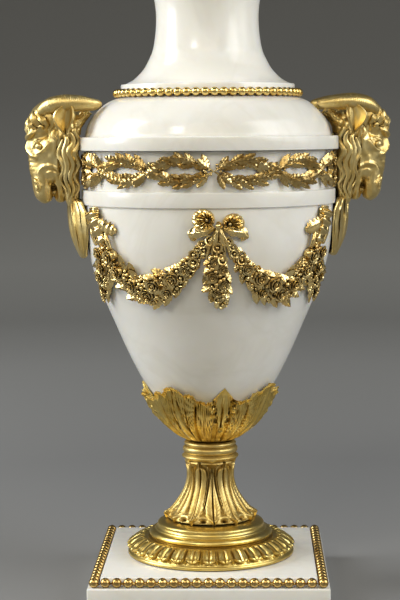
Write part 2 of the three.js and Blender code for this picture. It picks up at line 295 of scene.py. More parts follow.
def giltBronze(name, bright, deep, hollow, reach, rough):
    # mercury gilding on cast bronze: burnished high spots, and matter hollows painted darker as painted
    # shade with a little brown bloom bright and deep are the worn and full gold, hollow is the colour of
    # that painted shade and bloom, and reach how wide its hollows are
    look = gilding
    low, high = rough
    material, tree, shader, place = newMaterial(name)
    at = {"Vector": place}
    patch = addNode(tree, "TexNoise", at, Scale=perSize(look["patch"]), Detail=4.0, Roughness=0.6)
    grain = addNode(tree, "TexNoise", at, Scale=perSize(look["grain"]), Detail=2.0)
    tone = addNode(tree, "ValToRGB", {0: patch.outputs[0]}, ((0.35, deep), (0.62, bright)))
    spread = addNode(tree, "ValToRGB", {0: patch.outputs[0]}, ((0.3, high), (0.7, low)))
    # painted shade: ambient occlusion blends the gold towards the hollow colour in creases and hollows, with
    # a little brown bloom
    occlusionShade = addNode(tree, "AmbientOcclusion", samples=6, Distance=reach * mm)
    share = addNode(tree, "ValToRGB", {0: occlusionShade.outputs["AO"]}, ((0.2, 0.0), (0.62, 1.0))).outputs[0]
    body = addNode(tree, "Mix", {0: share, 7: tone.outputs[0]}, data_type="RGBA")
    body.inputs[6].default_value = colour(hollow)
    worn = addNode(tree, "Mix", {0: share, 3: spread.outputs[0]}, data_type="FLOAT")
    worn.inputs[2].default_value = min(high + look["dull"], look["dullest"])
    bump = addNode(tree, "Bump", {"Height": grain.outputs[0]}, Strength=0.12, Distance=look["height"] * mm)
    tree.links.new(body.outputs[2], shader.inputs["Base Color"])
    tree.links.new(worn.outputs[0], shader.inputs["Roughness"])
    tree.links.new(bump.outputs[0], shader.inputs["Normal"])
    shader.inputs["Metallic"].default_value = 1.0
    return material


marble = polishedMarble()
# chased and burnished: sharp pale lights, and painted shade with a light brown bloom in the hollows
gilt = giltBronze("chased mercury gilt bronze", "f4d98e", "e6c068", "6f4a16", 2.6, (0.2, 0.32))
# rubbed with a soft burnisher: broad silky lights on the leaves of the foot
satinGilt = giltBronze("satin mercury gilt bronze", "efd788", "e0c26a", "6a4a18", 3.0, (0.28, 0.38))
# brushed after gilding: soft lights on brow and nose, and painted shade darkening the lines between the
# locks
ramGilt = giltBronze("brushed mercury gilt bronze", "f1da98", "dec074", "35200a", 3.6, (0.33, 0.45))
# hatched with a fine punch: a dry, even gold without mirror lights
stemGilt = giltBronze("hatched mercury gilt bronze", "dfc680", "c5a65a", "573c14", 2.2, (0.4, 0.52))
# matted in the veins: warm gold with painted shade in each crease of the leaves
cupGilt = giltBronze("matt mercury gilt bronze", "efd482", "dbb95c", "573a10", 3.0, (0.27, 0.38))
# gilding bright only on the high flowers, with painted shade nearly black in the depths between them
deepShadeGilt = giltBronze("mercury gilt bronze with painted shade", "f8e09e", "e4c27a", "1e1208", 2.6, (0.18, 0.32))
# the same gilding, rubbed thinner: greyer gold leaves, with painted shade darkening the ground between them
friezeGilt = giltBronze("mercury gilt bronze with painted shade, matt", "e0c78a", "b59658", "1b1008", 2.6, (0.2, 0.36))
# gilding rubbed by dusting: paler, slightly dull beads with a small clear light on each
beadGilt = giltBronze("rubbed gilt brass beading", "dbbb76", "bf9c5a", "3e2a12", 2.0, (0.22, 0.34))


def finish(piece, material, node, degrees=50):
    # gives a piece its finish and its place in the frame
    piece.data.materials.clear()
    piece.data.materials.append(material)
    smoothShade(piece, degrees)
    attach(piece, "root")
    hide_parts(*([node] if isinstance(node, str) else node))
    print(piece.name, len(piece.data.polygons), "faces")


def otherSide(piece, name, keep=None):
    # the same casting again on the other side of the urn, plainer if keep gives a share of its faces
    twin = copied(piece, Matrix.Rotation(math.pi, 4, "Z"))
    twin.name = name
    if keep:
        useModifier(twin, "DECIMATE", ratio=keep)
    return twin


print("materials ready")


# the vase's outline in radius and height, which all its mounts follow
bodyOut = outlineOf(
    [(0, 75.4), (9, 76.2)],
    spline([(17, 78.3), (28, 86), (38.2, 103), (43.2, 112), (50.2, 126.4), (56.5, 141), (62.7, 155.5),
            (68.2, 170), (71.4, 181.8), (73.3, 192), (74.2, 202), (74.4, 212.6)], 44),
    [(75.3, 212.8), (75.7, 213.0), (75.8, 213.4), (75.8, 220.9), (75.7, 221.3), (75.3, 221.5),
     (73.4, 221.7), (73.2, 221.9), (73.2, 244.4)],
)
bodyIn = outlineOf(
    [(63.7, 244.4)],
    spline([(64.4, 226), (64.9, 206), (59, 172), (48, 142), (36, 116), (24, 98)], 22),
    [(10, 90), (0, 88)],
)
shoulderOut = outlineOf(
    [(73.6, 244.7), (77.4, 244.7), (77.7, 244.9), (77.8, 245.3), (77.8, 252.0), (77.7, 252.4), (77.3, 252.6),
     (74.0, 252.7)],
    spline([(73.6, 253.1), (71.4, 260.4), (67.3, 266.2), (61.6, 271.6), (57.6, 273.9), (53.4, 275.4),
            (50.8, 276.5)], 26),
)
shoulderIn = outlineOf(
    [(23, 276.6), (23, 269)],
    spline([(26, 267.6), (40, 266), (50, 262), (58, 255), (64, 244.7)], 14),
)
neckOut = outlineOf(
    [(51.2, 276.9), (51.6, 277.3), (51.7, 282.8), (51.5, 283.2), (49.6, 283.4)],
    spline([(49.2, 283.5), (44.9, 285.7), (41.6, 288.4), (37.6, 293), (34.9, 298), (32.7, 303), (31.3, 310),
            (30.5, 318), (30.5, 326), (31.6, 334), (34.4, 342), (39.2, 350), (44.4, 355.6)], 52),
    [(44.9, 356.2), (46.2, 356.4), (46.5, 356.8), (46.5, 362.4), (46.1, 362.9), (45.4, 363)],
)
neckIn = outlineOf(
    [(39.4, 363), (38.9, 362.7)],
    spline([(38.6, 362), (34.5, 354), (28.4, 344), (24, 333), (22, 320), (22.4, 300), (23, 276.9)], 30),
)
# steps round, the height of the lower fillet, and the radius that courses over the vase are measured at
vase = {"steps": 160, "fillet": 212, "girth": 73}

wallR, wallZ = np.array(bodyOut + shoulderOut).T
vaseFrame = Matrix.Rotation(math.radians(turns["vase"]), 4, "Z") @ Matrix.Translation((0, 0, plinthTop * mm))


def wallAt(z):
    return float(np.interp(z, wallZ, wallR))


def seat(angle, z, out=0.0, turn=0.0, tilt=0.0, size=1.0):
    # lays an ornament on the vase: its X goes round to the right, Y up and Z outwards
    a = math.radians(angle)
    lean = (wallAt(z + 1) - wallAt(z - 1)) / 2 if z < vase["fillet"] else 0
    right = Vector((math.cos(a), math.sin(a), 0))
    up = Vector((lean * math.sin(a), -lean * math.cos(a), 1)).normalized()
    away = right.cross(up)
    r = wallAt(z)
    spot = Vector((r * math.sin(a), -r * math.cos(a), z)) + away * out
    place = Matrix((right, up, away)).transposed().to_4x4()
    place.translation = spot * mm
    spin = Matrix.Rotation(math.radians(turn), 4, "Z") @ Matrix.Rotation(math.radians(tilt), 4, "X")
    return place @ spin @ Matrix.Diagonal((size, size, size, 1))


def vasePiece(piece):
    # takes a piece modelled about its own axis to where the vase stands
    piece.data.transform(vaseFrame)
    return piece


marbleRings = {
    "body": bodyOut + bodyIn,
    "shoulder": shoulderOut + shoulderIn + shoulderOut[:1],
    "neck": neckOut + neckIn + neckOut[:1],
}
for name, ring in marbleRings.items():
    finish(vasePiece(turned("marble_" + name, ring, vase["steps"])), marble, name, 40)


plinthSizes = {"inset": 7.2, "rebate": 5.0, "edge": 0.7}


def marblePlinth():
    low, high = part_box("plinth")
    rebate = plinthSizes["rebate"] * mm
    piece = fresh("marble_plinth", bpy.ops.mesh.primitive_cube_add, size=1)
    block = Matrix.Diagonal((high.x - low.x, high.y - low.y, high.z - rebate, 1))
    piece.data.transform(Matrix.Translation((0, 0, (high.z - rebate) / 2)) @ block)
    bpy.ops.object.mode_set(mode="EDIT")
    bpy.ops.mesh.select_mode(type="FACE")
    bpy.ops.mesh.select_all(action="DESELECT")
    bpy.ops.object.mode_set(mode="OBJECT")
    for face in piece.data.polygons:
        face.select = face.normal.z > 0.9
    bpy.ops.object.mode_set(mode="EDIT")
    bpy.ops.mesh.inset(thickness=plinthSizes["inset"] * mm)
    bpy.ops.mesh.extrude_region_move(TRANSFORM_OT_translate={"value": (0, 0, rebate)})
    bpy.ops.mesh.select_mode(type="VERT")
    bpy.ops.object.mode_set(mode="OBJECT")
    useModifier(piece, "BEVEL", width=plinthSizes["edge"] * mm, segments=3, limit_method="ANGLE")
    return piece


finish(marblePlinth(), marble, "plinth", 40)
print("marble done")


# radii of beads, of the strips they are cast on and of the neck's ring; fullness makes neighbours touch
beads = {"plinthRadius": 2.8, "plinthHalf": 65.9, "perSide": 21, "plinthStrip": 1.2, "fullness": 1.05,
         "neckRadius": 2.55, "neckRing": 54.1, "neckCount": 64, "neckHeight": 278.1, "neckStrip": 1.3}


def beadShape(radius):
    add = bpy.ops.mesh.primitive_uv_sphere_add
    return fresh("bead", add, segments=18, ring_count=12, radius=radius * mm)


def plinthBeading():
    half, count, radius = beads["plinthHalf"], beads["perSide"], beads["plinthRadius"]
    strong = beads["plinthStrip"]
    pitch = 2 * half / (count - 1)
    middle = plinthTop - plinthSizes["rebate"] + radius
    bead = beadShape(radius * beads["fullness"])
    parts = []
    for side in range(4):
        turn = Matrix.Rotation(side * math.pi / 2, 4, "Z")
        for k in range(count - 1):
            spot = Vector((-half + k * pitch, -half, middle)) * mm
            parts.append(copied(bead, turn @ Matrix.Translation(spot)))
        path = [(x, -half, middle - 0.5) for x in (-half, 0, half)]
        strip = limb(path, [(strong, strong), (strong, strong)], 8, 4)
        strip.data.transform(turn)
        parts.append(strip)
    remove(bead)
    return closeUp(joined("plinth_beads", parts), 0.001)


def neckBeading():
    ring, count, radius = beads["neckRing"], beads["neckCount"], beads["neckRadius"]
    bead = beadShape(radius)
    bead.data.transform(Matrix.Translation(Vector((ring, 0, beads["neckHeight"])) * mm))
    parts = [copied(bead, Matrix.Rotation(math.tau * k / count, 4, "Z")) for k in range(count)]
    remove(bead)
    strip = fresh("strip", bpy.ops.mesh.primitive_torus_add, major_segments=2 * count, minor_segments=8,
                  major_radius=ring * mm, minor_radius=beads["neckStrip"] * mm)
    strip.data.transform(Matrix.Translation((0, 0, beads["neckHeight"] * mm)))
    return vasePiece(closeUp(joined("neck_beads", parts + [strip]), 0.001))


finish(plinthBeading(), beadGilt, "plinth_beading")
finish(neckBeading(), gilt, "neck_beading")


# foot: disc, band of upright leaves, torus and shallow dish
footSizes = {"leaves": 32, "columns": 16, "rise": 1.65, "bandLow": 3.8, "bandHigh": 10.6}
footOutline = outlineOf(
    [(0, 0.3), (30, 0.3), (49.9, 0.3)],
    spline([(50.2, 0.4), (50.5, 1.0), (50.45, 1.9), (50.0, 2.5)], 7),
    [(49.5, 2.8), (49.35, 3.3)],
    spline([(49.2, 3.8), (48.3, 5.6), (46.2, 7.6), (43.2, 9.3), (40.4, 10.3), (38.4, 10.6)], 30),
    [(37.4, 10.2), (36.6, 10.0), (35.9, 10.4)],
    spline([(35.9, 10.9), (36.9, 11.6), (37.4, 12.7), (36.9, 13.9), (35.7, 14.8), (34.4, 15.1)], 14),
    [(34.0, 15.2), (33.7, 15.6)],
    spline([(33.5, 15.9), (32.6, 16.6), (32.2, 17.6), (32.3, 18.5)], 8),
    spline([(32.2, 18.9), (31.6, 19.5), (30.2, 20.2), (28, 20.9), (24, 21.8), (18, 22.2)], 14),
    [(0, 22.3)],
)


def leafBand(degrees, r, z):
    # upright tongue leaves with a raised rim and a sunk rib, curling out at their tips
    cell = 360 / footSizes["leaves"]
    across = np.abs((degrees / cell + 0.5) % 1 - 0.5)
    low, high = footSizes["bandLow"], footSizes["bandHigh"]
    t = np.clip((z - low) / (high - low), 0, 1)
    inBand = (z > low - 0.1) & (z < high + 0.05) & (r > 38.2)
    width = 0.44 * np.sqrt(np.clip((t - 0.02) / 0.3, 0, 1)) * (1 - 0.1 * t)
    e = across / np.maximum(width, 1e-3)
    leafHeight = np.where(e < 1, 0.35 + 0.65 * np.sin(np.clip(e, 0, 1) * math.pi * 0.92) ** 0.8, -0.25)
    rib = np.exp(-((e / 0.2) ** 2)) * 0.3 * (t > 0.15)
    rim = np.exp(-(((e - 0.88) / 0.1) ** 2)) * 0.35
    curl = np.exp(-(((t - 0.16) / 0.12) ** 2)) * 0.55 * (e < 1)
    dart = np.exp(-(((0.5 - across) / 0.07) ** 2)) * np.clip(1 - t * 2.2, 0, 1) * 0.9
    fade = np.clip((1 - t) / 0.12, 0, 1)
    rise = (leafHeight - rib + rim + curl + dart) * fade * footSizes["rise"]
    return np.where(inBand, rise, 0)


def onPlinth(piece, degrees=0.0):
    # takes a piece modelled at the ground up to the plinth's top, turned about the urn's axis
    turn = Matrix.Rotation(math.radians(degrees), 4, "Z")
    piece.data.transform(Matrix.Translation((0, 0, plinthTop * mm)) @ turn)
    return piece


giltFoot = carvedRound("gilt_foot", footOutline, footSizes["leaves"] * footSizes["columns"], leafBand)
finish(onPlinth(giltFoot), satinGilt, "foot", 60)


# stem: six tongue leaves and six narrower ones between them, under a moulded collar
stemSizes = {"leaves": 6, "columns": 64, "low": 22.6, "high": 57.4, "rise": 1.15}
stemOutline = outlineOf(
    [(0, 22.5), (14, 22.5), (23.6, 22.55)],
    spline([(26.2, 22.7), (25.2, 24.2), (23.6, 26.2), (20.4, 30.2), (17.6, 34.2), (15.5, 38), (13.9, 42),
            (13.0, 47.2), (13.4, 53), (14.2, 57.2)], 88),
    spline([(14.6, 57.7), (15.7, 58.4), (16.9, 59.2), (17.2, 59.7), (17.0, 60.2), (16.0, 60.9),
            (15.2, 61.5)], 12),
    spline([(15.3, 61.8), (16.2, 62.5), (16.6, 63.9), (16.3, 65.2), (15.3, 65.9)], 12),
    [(14.9, 66.0), (14.9, 66.3)],
    spline([(15.2, 66.5), (15.7, 67.1), (15.7, 67.9), (15.2, 68.6), (14.6, 68.9)], 9),
    [(14.2, 69.2), (0, 69.2)],
)


def stemLeaves(degrees, r, z):
    cell = 360 / stemSizes["leaves"]
    off = np.abs((degrees / cell + 0.5) % 1 - 0.5) * cell
    t = np.clip((z - stemSizes["low"]) / (stemSizes["high"] - stemSizes["low"]), 0, 1)
    steps = [0, 0.04, 0.12, 0.25, 0.42, 0.6, 0.8, 0.91, 0.965, 1]
    wide = [0.8, 5, 10, 14.5, 17.5, 20, 22.8, 21.5, 15, 2]
    mainHalf = np.interp(t, steps, wide)
    tongueHalf = 0.72 * np.interp(t + 0.085, steps, wide)
    betweenHalf = np.interp(t, steps, [0.8, 5, 11, 13.6, 11.0, 6.6, 2.6, 0, 0, 0])
    e, g, f = off / mainHalf, off / tongueHalf, (cell / 2 - off) / np.maximum(betweenHalf, 1e-3)
    # the hatching is drawn coarser than the punch's, so that it shows
    hatch = 0.09 * np.sin(math.tau * (z * 0.58 + off * 0.16)) * (t < 0.88)
    # a tongue of two rounded halves inside a raised border
    tongue = 0.1 + 1.05 * np.sqrt(np.clip(1 - ((g - 0.47) / 0.55) ** 2, 0, 1)) + hatch
    border = (1.0 + 0.5 * t) * np.exp(-(((e - 0.88) / 0.08) ** 2)) - 0.8
    slot = np.clip((t - 0.5) / 0.1, 0, 1) * np.clip((0.9 - t) / 0.05, 0, 1)
    tongue -= (0.4 + 1.2 * slot) * np.exp(-((g / (0.09 + 0.05 * slot)) ** 2))
    main = np.where(g < 1.0, tongue, border)
    between = -0.1 + 0.75 * np.sqrt(np.clip(1 - ((f - 0.52) / 0.5) ** 2, 0, 1))
    between = between - 0.9 * np.exp(-((f / 0.14) ** 2)) + hatch
    # the ground sinks between the tips, and rises to the collar's points above
    ground = np.interp(t, [0, 0.1, 0.2, 0.88, 1], [0.9, 0.5, -1.2, -1.2, 1.4])
    ground -= 3.2 * np.exp(-(((off - cell / 4) / 4.2) ** 2) - ((z - 24.1) / 0.85) ** 2)
    rise = np.where(e < 1, main, np.where((f < 1) & (betweenHalf > 0.1), between, ground))
    lift = np.clip(1 - t / 0.14, 0, 1) ** 1.5
    rise += lift * np.where(e < 1, 1.9, np.where(f < 1, 1.7, -0.6))
    point = 1.3 * np.clip(1 - (cell / 2 - off) / 9, 0, 1) * np.exp(-(((z - 58.3) / 0.9) ** 2))
    leafy = (z > stemSizes["low"]) & (z < stemSizes["high"]) & (r > 12)
    return np.where(leafy, rise * stemSizes["rise"], point * (z >= stemSizes["high"]))


giltStem = carvedRound("gilt_stem", stemOutline, stemSizes["leaves"] * stemSizes["columns"], stemLeaves)
finish(onPlinth(giltStem, turns["stem"]), stemGilt, "stem", 60)


# leaf cup: four broad acanthus leaves over four plain ones
cupSizes = {"columns": 640, "rows": 64, "foot": 69.5, "tip": 106.4, "floor": 74.6, "collar": 15.2,
            "wall": 1.76}
cupRows = {"bottom": 4, "rim": 3, "inside": 8}
cupTotal = cupSizes["rows"] + sum(cupRows.values())
cupOuter = [(15.2, 69.5), (17.9, 71.2), (23.4, 74.9), (27.9, 78.6), (31.3, 82.3), (33.7, 86), (35.8, 89.7),
            (37.3, 93.4), (38.8, 97), (40.2, 100.4), (41.4, 103.4), (42.6, 106.6)]
# lobes of half a broad leaf: foot (degrees, height), tip (degrees, height), half widths there, and veins
lobes = [((0, 69), (0, 106.4), 3.4, 10.2, 4), ((9, 70), (14.6, 102.8), 2.4, 6.0, 3),
         ((25, 69), (24.2, 98.8), 2.6, 5.6, 3), ((30, 69), (33.4, 98.2), 2.8, 5.8, 3)]
curls = [(95.6, 1.7, 9.0), (90.8, 1.9, 7.8), (85.6, 2.1, 6.6)]  # height, radius, degrees out


def broadEdge(off):
    # how high the broad leaf reaches, finely toothed
    edge = np.full_like(off, 60.0)
    for foot, tip, narrow, wide, veins in lobes:
        e = np.abs(off - tip[0]) / wide
        edge = np.maximum(edge, tip[1] - 0.5 * wide * e**2.4 - 30 * np.clip(e - 1.04, 0, 1))
    return edge + 0.75 * np.abs(np.cos(off * math.pi / 3.1)) - 0.4


def plainEdge(off):
    return cupSizes["tip"] - 0.66 * off - 0.3 * np.sqrt(off)


def broadRelief(broadOff, plainOff, z, edge):
    # each lobe billows between deep creases, with veins fanning up it
    rise = np.full_like(z, -2.2)
    for foot, tip, narrow, wide, veins in lobes:
        s = np.clip((z - foot[1]) / (tip[1] - foot[1]), 0, 1.05)
        axis = foot[0] + (tip[0] - foot[0]) * s**0.85
        e = (broadOff - axis) / (narrow + (wide - narrow) * s**0.8)
        crown = -0.4 + 2.3 * np.sqrt(np.clip(1 - e**2, 0, 1))
        crown -= 1.0 * (1 - np.abs(np.sin(math.pi * e * veins))) ** 2.2 * np.clip(s * 2.5, 0, 1)
        rise = np.maximum(rise, np.where(np.abs(e) < 1, crown, -9))
    ribHalf = np.interp(z, [70, 84, 102], [8, 3.6, 0.7])
    rib = 2.6 * np.sqrt(np.clip(1 - (broadOff / ribHalf) ** 2, 0, 1)) * np.clip((103 - z) / 5, 0, 1)
    rise = np.where(broadOff < ribHalf, np.maximum(rib, rise - 0.8), rise)
    rise -= 1.7 * np.exp(-(((broadOff - ribHalf - 0.7) / 0.75) ** 2)) * np.clip((103 - z) / 6, 0, 1)
    rise += 1.9 * np.clip(1 - (edge - z) / 2.2, 0, 1) ** 1.6
    # the fans' inner edges roll over in curls beside the plain leaf
    for high, wide, out in curls:
        away = np.hypot((plainOff - out) * 0.62, z - high)
        rise += 1.7 * np.exp(-(((away - wide) / 0.8) ** 2)) - 0.4 * np.exp(-((away / (wide * 0.5)) ** 2))
    return rise


def plainRelief(off, z):
    # the leaf behind: a sunk middle line, a raised border, fine veins and an eye at its foot
    g = np.clip(off / np.maximum((cupSizes["tip"] - z) / 0.64, 1), 0, 1)
    rise = -0.4 - 1.6 * np.exp(-((off / 0.9) ** 2)) * (z > 81) + 0.7 * np.exp(-(((g - 0.9) / 0.1) ** 2))
    rise += 0.16 * np.cos((off + 0.25 * (z - 80)) * math.tau / 2.1)
    eye = np.hypot(off * 0.52, z - 79.4)
    return rise + 1.1 * np.exp(-(((eye - 1.9) / 0.6) ** 2)) - 0.9 * np.exp(-((eye / 1.1) ** 2))


def cupSurface(u, v):
    # from the middle of the underside out to the collar, up the leaves, over their rim and down inside
    bottom, rows, rim = cupRows["bottom"], cupSizes["rows"], cupRows["rim"]
    k = np.rint(v * cupTotal)
    degrees = u * 360
    plainOff = np.abs((degrees / 90 + 0.5) % 1 - 0.5) * 90
    broadOff = 45 - plainOff
    broad = broadEdge(broadOff)
    edge = np.maximum(broad, plainEdge(plainOff))
    t = np.clip((k - bottom) / rows, 0, 1)
    foot = cupSizes["foot"]
    z = foot + t * (edge - foot)
    outerR, outerZ = np.array(cupOuter).T
    innerEdge = np.interp(z, [80, 86, 97], [2.6, 3.8, 6.4])
    innerEdge += 1.1 * np.abs(np.sin((z - 87.8) * math.pi / 5.1))
    inBroad = (z < broad + 0.01) & (plainOff > innerEdge * np.clip((z - 80) / 5, 0, 1))
    rise = np.where(inBroad, broadRelief(broadOff, plainOff, z, broad), plainRelief(plainOff, z))
    rise = rise * np.clip((z - foot) / 3, 0, 1)
    lip = np.clip((t - 0.93) / 0.07, 0, 1)
    marbleR = np.interp(z, wallZ, wallR)
    r = np.maximum(np.interp(z, outerZ, outerR) + rise - 1.8 + 0.3 * lip * inBroad, marbleR + 0.9)
    # over the rim and down the inside along the marble, each column in its own number of rows
    over = np.clip((k - bottom - rows) / rim, 0, 1)
    r = r + (np.maximum(np.maximum(marbleR + 0.5, 0), r - cupSizes["wall"]) - r) * over
    z = z + 0.35 * np.sin(over * math.pi)
    down = np.clip((k - bottom - rows - rim) / innerEdge, 0, 1)
    z = np.where(down > 0, edge + (cupSizes["floor"] - edge) * down ** 0.8, z)
    r = np.where(down > 0, np.minimum(r, np.interp(z, wallZ, wallR) + 0.5) * (down < 1), r)
    r = np.where(k < bottom, cupSizes["collar"] * k / bottom, r)
    z = np.where(k < bottom, foot, z)
    angle = np.radians(degrees)
    return r * np.sin(angle), -r * np.cos(angle), z


leafCup = closeUp(shaped("gilt_leaf_cup", cupSizes["columns"], cupTotal, cupSurface), 0.004)
finish(onPlinth(leafCup, turns["cup"]), cupGilt, "leaf_cup", 60)
print("foot, stem and cup done")


# ram's head, facing +X: x outwards from the urn's axis, y sideways, z up
ram = {"voxel": 0.5, "eye": 2.1, "ear": 0.9, "hornRings": 52, "foreheadLocks": 6, "keep": 0.68}
dice = random.Random(7)

# forms that the cast core is built up from: path, half widths and depths, sides, steps, narrowing in front
middleForms = {
    "skull": ([(88, 0, 273), (91.5, 0, 269.5), (94.2, 0, 264), (95, 0, 256), (95, 0, 248), (95, 0, 240),
               (95.4, 0, 233), (95.8, 0, 226)],
              [(7, 4), (11, 8), (14, 9.6), (15.6, 11), (14.8, 12.2), (12.4, 12.2), (10.6, 11.4), (9, 9.2)],
              32, 48, 0.13),
    "forehead": ([(95, 0, 272.6), (100.5, 0, 267.4), (104, 0, 260), (103.4, 0, 252)],
                 [(8, 3), (10.5, 4), (11, 4.2), (8, 3.6)], 28, 26, 0.1),
    "upperLip": ([(98, 0, 237), (98.8, 0, 230), (98.6, 0, 224), (98, 0, 219.6), (96.6, 0, 216.4),
                  (95.4, 0, 214)],
                 [(9, 7.4), (9.8, 6.8), (9.6, 6.2), (8.6, 5.8), (6.8, 4.4), (4, 2.2)], 28, 26, 0.1),
    "lowerJaw": ([(89, 0, 240), (88.8, 0, 231), (88.6, 0, 224), (88.5, 0, 218.5), (88.4, 0, 215.6),
                  (88.4, 0, 213.9)],
                 [(11, 5.4), (9.4, 4.8), (8.2, 4.2), (7.2, 3.7), (5.8, 3), (3.6, 1.6)], 24, 26, 0),
    "neck": ([(80.8, 0, 268), (81.8, 0, 258), (82, 0, 244), (81.6, 0, 230), (81, 0, 218), (80.8, 0, 212.6)],
             [(8, 3), (12, 4.6), (12, 5), (10.5, 4.8), (8, 4.2), (6, 3.4)], 24, 30, 0),
    "nape": ([(87, 0, 262), (80.5, 0, 263.5), (75, 0, 263)], [(12, 7), (12, 6), (9.5, 4.6)], 24, 14, 0),
}
sideForms = {
    "beard": ([(82.6, 9.4, 263), (82.4, 10, 252), (82.6, 9.4, 240), (82, 8, 228), (81.2, 6.2, 216),
               (80.8, 5, 211.6)],
              [(6.4, 4.6), (6.8, 5.5), (6.4, 5.8), (5.4, 5.0), (4.2, 4.2), (2.6, 2.8)], 22, 36, 0),
    "wool": ([(70, 6.5, 269.6), (74, 6.5, 265.4), (77.4, 7, 260), (79.4, 7.6, 254)],
             [(5.4, 4.4), (6.4, 5), (6.4, 4.4), (5, 3.4)], 18, 22, 0),
    "cheek": ([(91, 11, 262), (89.8, 11.4, 252), (89.6, 9.6, 242), (89.2, 7.6, 232), (88, 5.6, 222)],
              [(3.4, 3.6), (4.2, 4.2), (4, 4), (3, 3.4), (2, 2.4)], 20, 30, 0),
    "nostril": ([(104, 4.6, 228), (102.6, 8, 227), (101, 9, 223.4), (102, 7.6, 220.4)],
                [(0.9, 0.9), (1.3, 1.2), (1.3, 1.2), (0.8, 0.8)], 12, 20, 0),
}

# strokes chased on the cast core, seen from the side: points (x, z), half width and height or depth
beardGrooves = [
    [(79.4, 257), (78.3, 249), (79.7, 241), (78.5, 233), (79.3, 225), (79, 215)],
    [(82, 258), (80.9, 250), (82.3, 242), (81, 234), (81.5, 226), (80.5, 215)],
    [(84.6, 256), (83.5, 249), (84.8, 241), (83.6, 233.5), (83.6, 226), (82, 216)],
    [(87, 253), (86, 246), (87.2, 239), (85.8, 232), (85.4, 225), (83.4, 216)],
    [(89.2, 247), (88.6, 241), (88.5, 235), (87, 229), (86.3, 223.5), (84.8, 216)],
]
faceRidges = [
    ([(100.6, 257.6), (104.4, 255.6), (107, 250), (105, 244), (100.6, 240.6)], 1.6, 3.2),  # brow to cheek
    ([(94.6, 250), (96.2, 247.4), (98.9, 244.6), (101.6, 243.4)], 0.85, 1.2),  # pouch of the lower lid
    ([(97, 251.2), (99.6, 251.4), (102, 250), (103.6, 247)], 0.6, 1.0),  # upper lid
    # fold over the lip, and the corner of the mouth
    ([(86.2, 227.5), (88, 232.4), (91.8, 235.4), (96, 236), (99.4, 234.4), (101.6, 230.6)], 1.2, 1.0),
    ([(89, 216), (89, 220.8), (90.2, 224.8), (92.6, 226), (94.4, 224), (94.8, 219.8), (94.6, 216)],
     0.8, 0.7),
    ([(94.4, 268.6), (96.2, 264.6), (97.4, 260.8), (97.4, 257.8)], 0.85, 1.2),
    ([(97.2, 269.2), (99, 265.2), (100.3, 261.2), (100.2, 258)], 0.85, 1.2),
    ([(100, 268.4), (101.9, 264.4), (103, 260.8), (102.9, 258)], 0.8, 1.1),
    ([(93.4, 240.4), (91.6, 245.6), (91.8, 251.4)], 1.6, 0.7),  # cheek
]
faceGrooves = [
    ([(88.4, 228.6), (90.2, 232), (93.6, 233.4), (97, 232.8)], 0.75, 0.9),
    ([(92.0, 212.6), (91.6, 217), (91.7, 220.6), (92.3, 223.6)], 1.15, 3.0),  # mouth
    ([(102.8, 225.4), (101.4, 222.8), (101.8, 220.6)], 0.7, 1.5),  # nostril
    ([(95.4, 268), (97, 264.2), (98.4, 260.6), (98.6, 257.4)], 0.4, 0.8),
    ([(98.4, 268.6), (100.3, 264.6), (101.5, 260.8), (101.3, 257.6)], 0.4, 0.8),
    ([(106.6, 246), (104.4, 241.4), (104.8, 236)], 1.6, 0.5),
    ([(89.2, 252.6), (89.8, 246.4), (90.2, 240)], 0.7, 0.7),
]
# each lock of the beard: a deep cut, the crown beside it and two finer cuts, by how far they lie from it
beardStrokes = [(0, 0.6, -1.15), (1.25, 0.7, 0.55), (0.75, 0.24, -0.32), (1.7, 0.24, -0.28)]
# hollows pressed in: x, y, z, reach, depth
hollows = [(97.4, 15, 254.6, 4.0, 4.2), (101.2, 13.4, 252.4, 2.8, 2.6), (96.2, 14.6, 242, 2.7, 1.9),
           (93.2, 16, 246.6, 1.8, 0.8), (101.6, 11.6, 248, 1.7, 1.2), (94.6, 10.5, 229.4, 2.2, 0.5),
           (99.8, 10, 226, 1.8, 0.5)]


def groovedLock(count, depth):
    # strands chased along a lock
    return lambda t, turn: 1 + depth * np.cos(count * turn) * np.sin(np.pi * np.clip(t, 0, 1)) ** 0.5


def lock(path, thick, flat=1.0, across=(0, 1, 0), strands=5):
    sizes = [(thick * 0.55, thick * 0.5 * flat), (thick, thick * 0.8 * flat),
             (thick * 0.9, thick * 0.75 * flat), (thick * 0.5, thick * 0.4 * flat),
             (thick * 0.12, thick * 0.1)]
    return limb(path, sizes, 12, 18, across, groovedLock(strands, 0.13))


def wedge(depth):
    # narrows a section towards the front, as a sheep's nose is
    return lambda t, turn: 1 - depth * np.clip(np.sin(turn), 0, 1) * np.abs(np.cos(turn)) * 2


def formed(forms, way=1):
    return [limb([(x, way * y, z) for x, y, z in path], sizes, sides, steps, lump=wedge(narrowing))
            for path, sizes, sides, steps, narrowing in forms.values()]


def ramCore():
    # the forms melt into one skin, as in a wax, which is then chased
    parts = formed(middleForms) + formed(sideForms, 1) + formed(sideForms, -1)
    core = closeUp(joined("ram_core", parts))
    useModifier(core, "REMESH", mode="VOXEL", voxel_size=ram["voxel"] * mm)
    useModifier(core, "SMOOTH", factor=0.5, iterations=4)
    chaseCore(core)
    return core


def nearStroke(place, points):
    # how far each place is from a stroke seen from the side, and how far along the stroke it lies
    line = spline(points, 5 * len(points))
    far = np.full(len(place), 1e9)
    along = np.zeros(len(place))
    for k, (a, b) in enumerate(zip(line, line[1:])):
        run = b - a
        share = np.clip(((place - a) @ run) / max(run @ run, 1e-9), 0, 1)
        gap = np.linalg.norm(place - a - share[:, None] * run, axis=1)
        near = gap < far
        far[near] = gap[near]
        along[near] = ((k + share) / (len(line) - 1))[near]
    return far, along


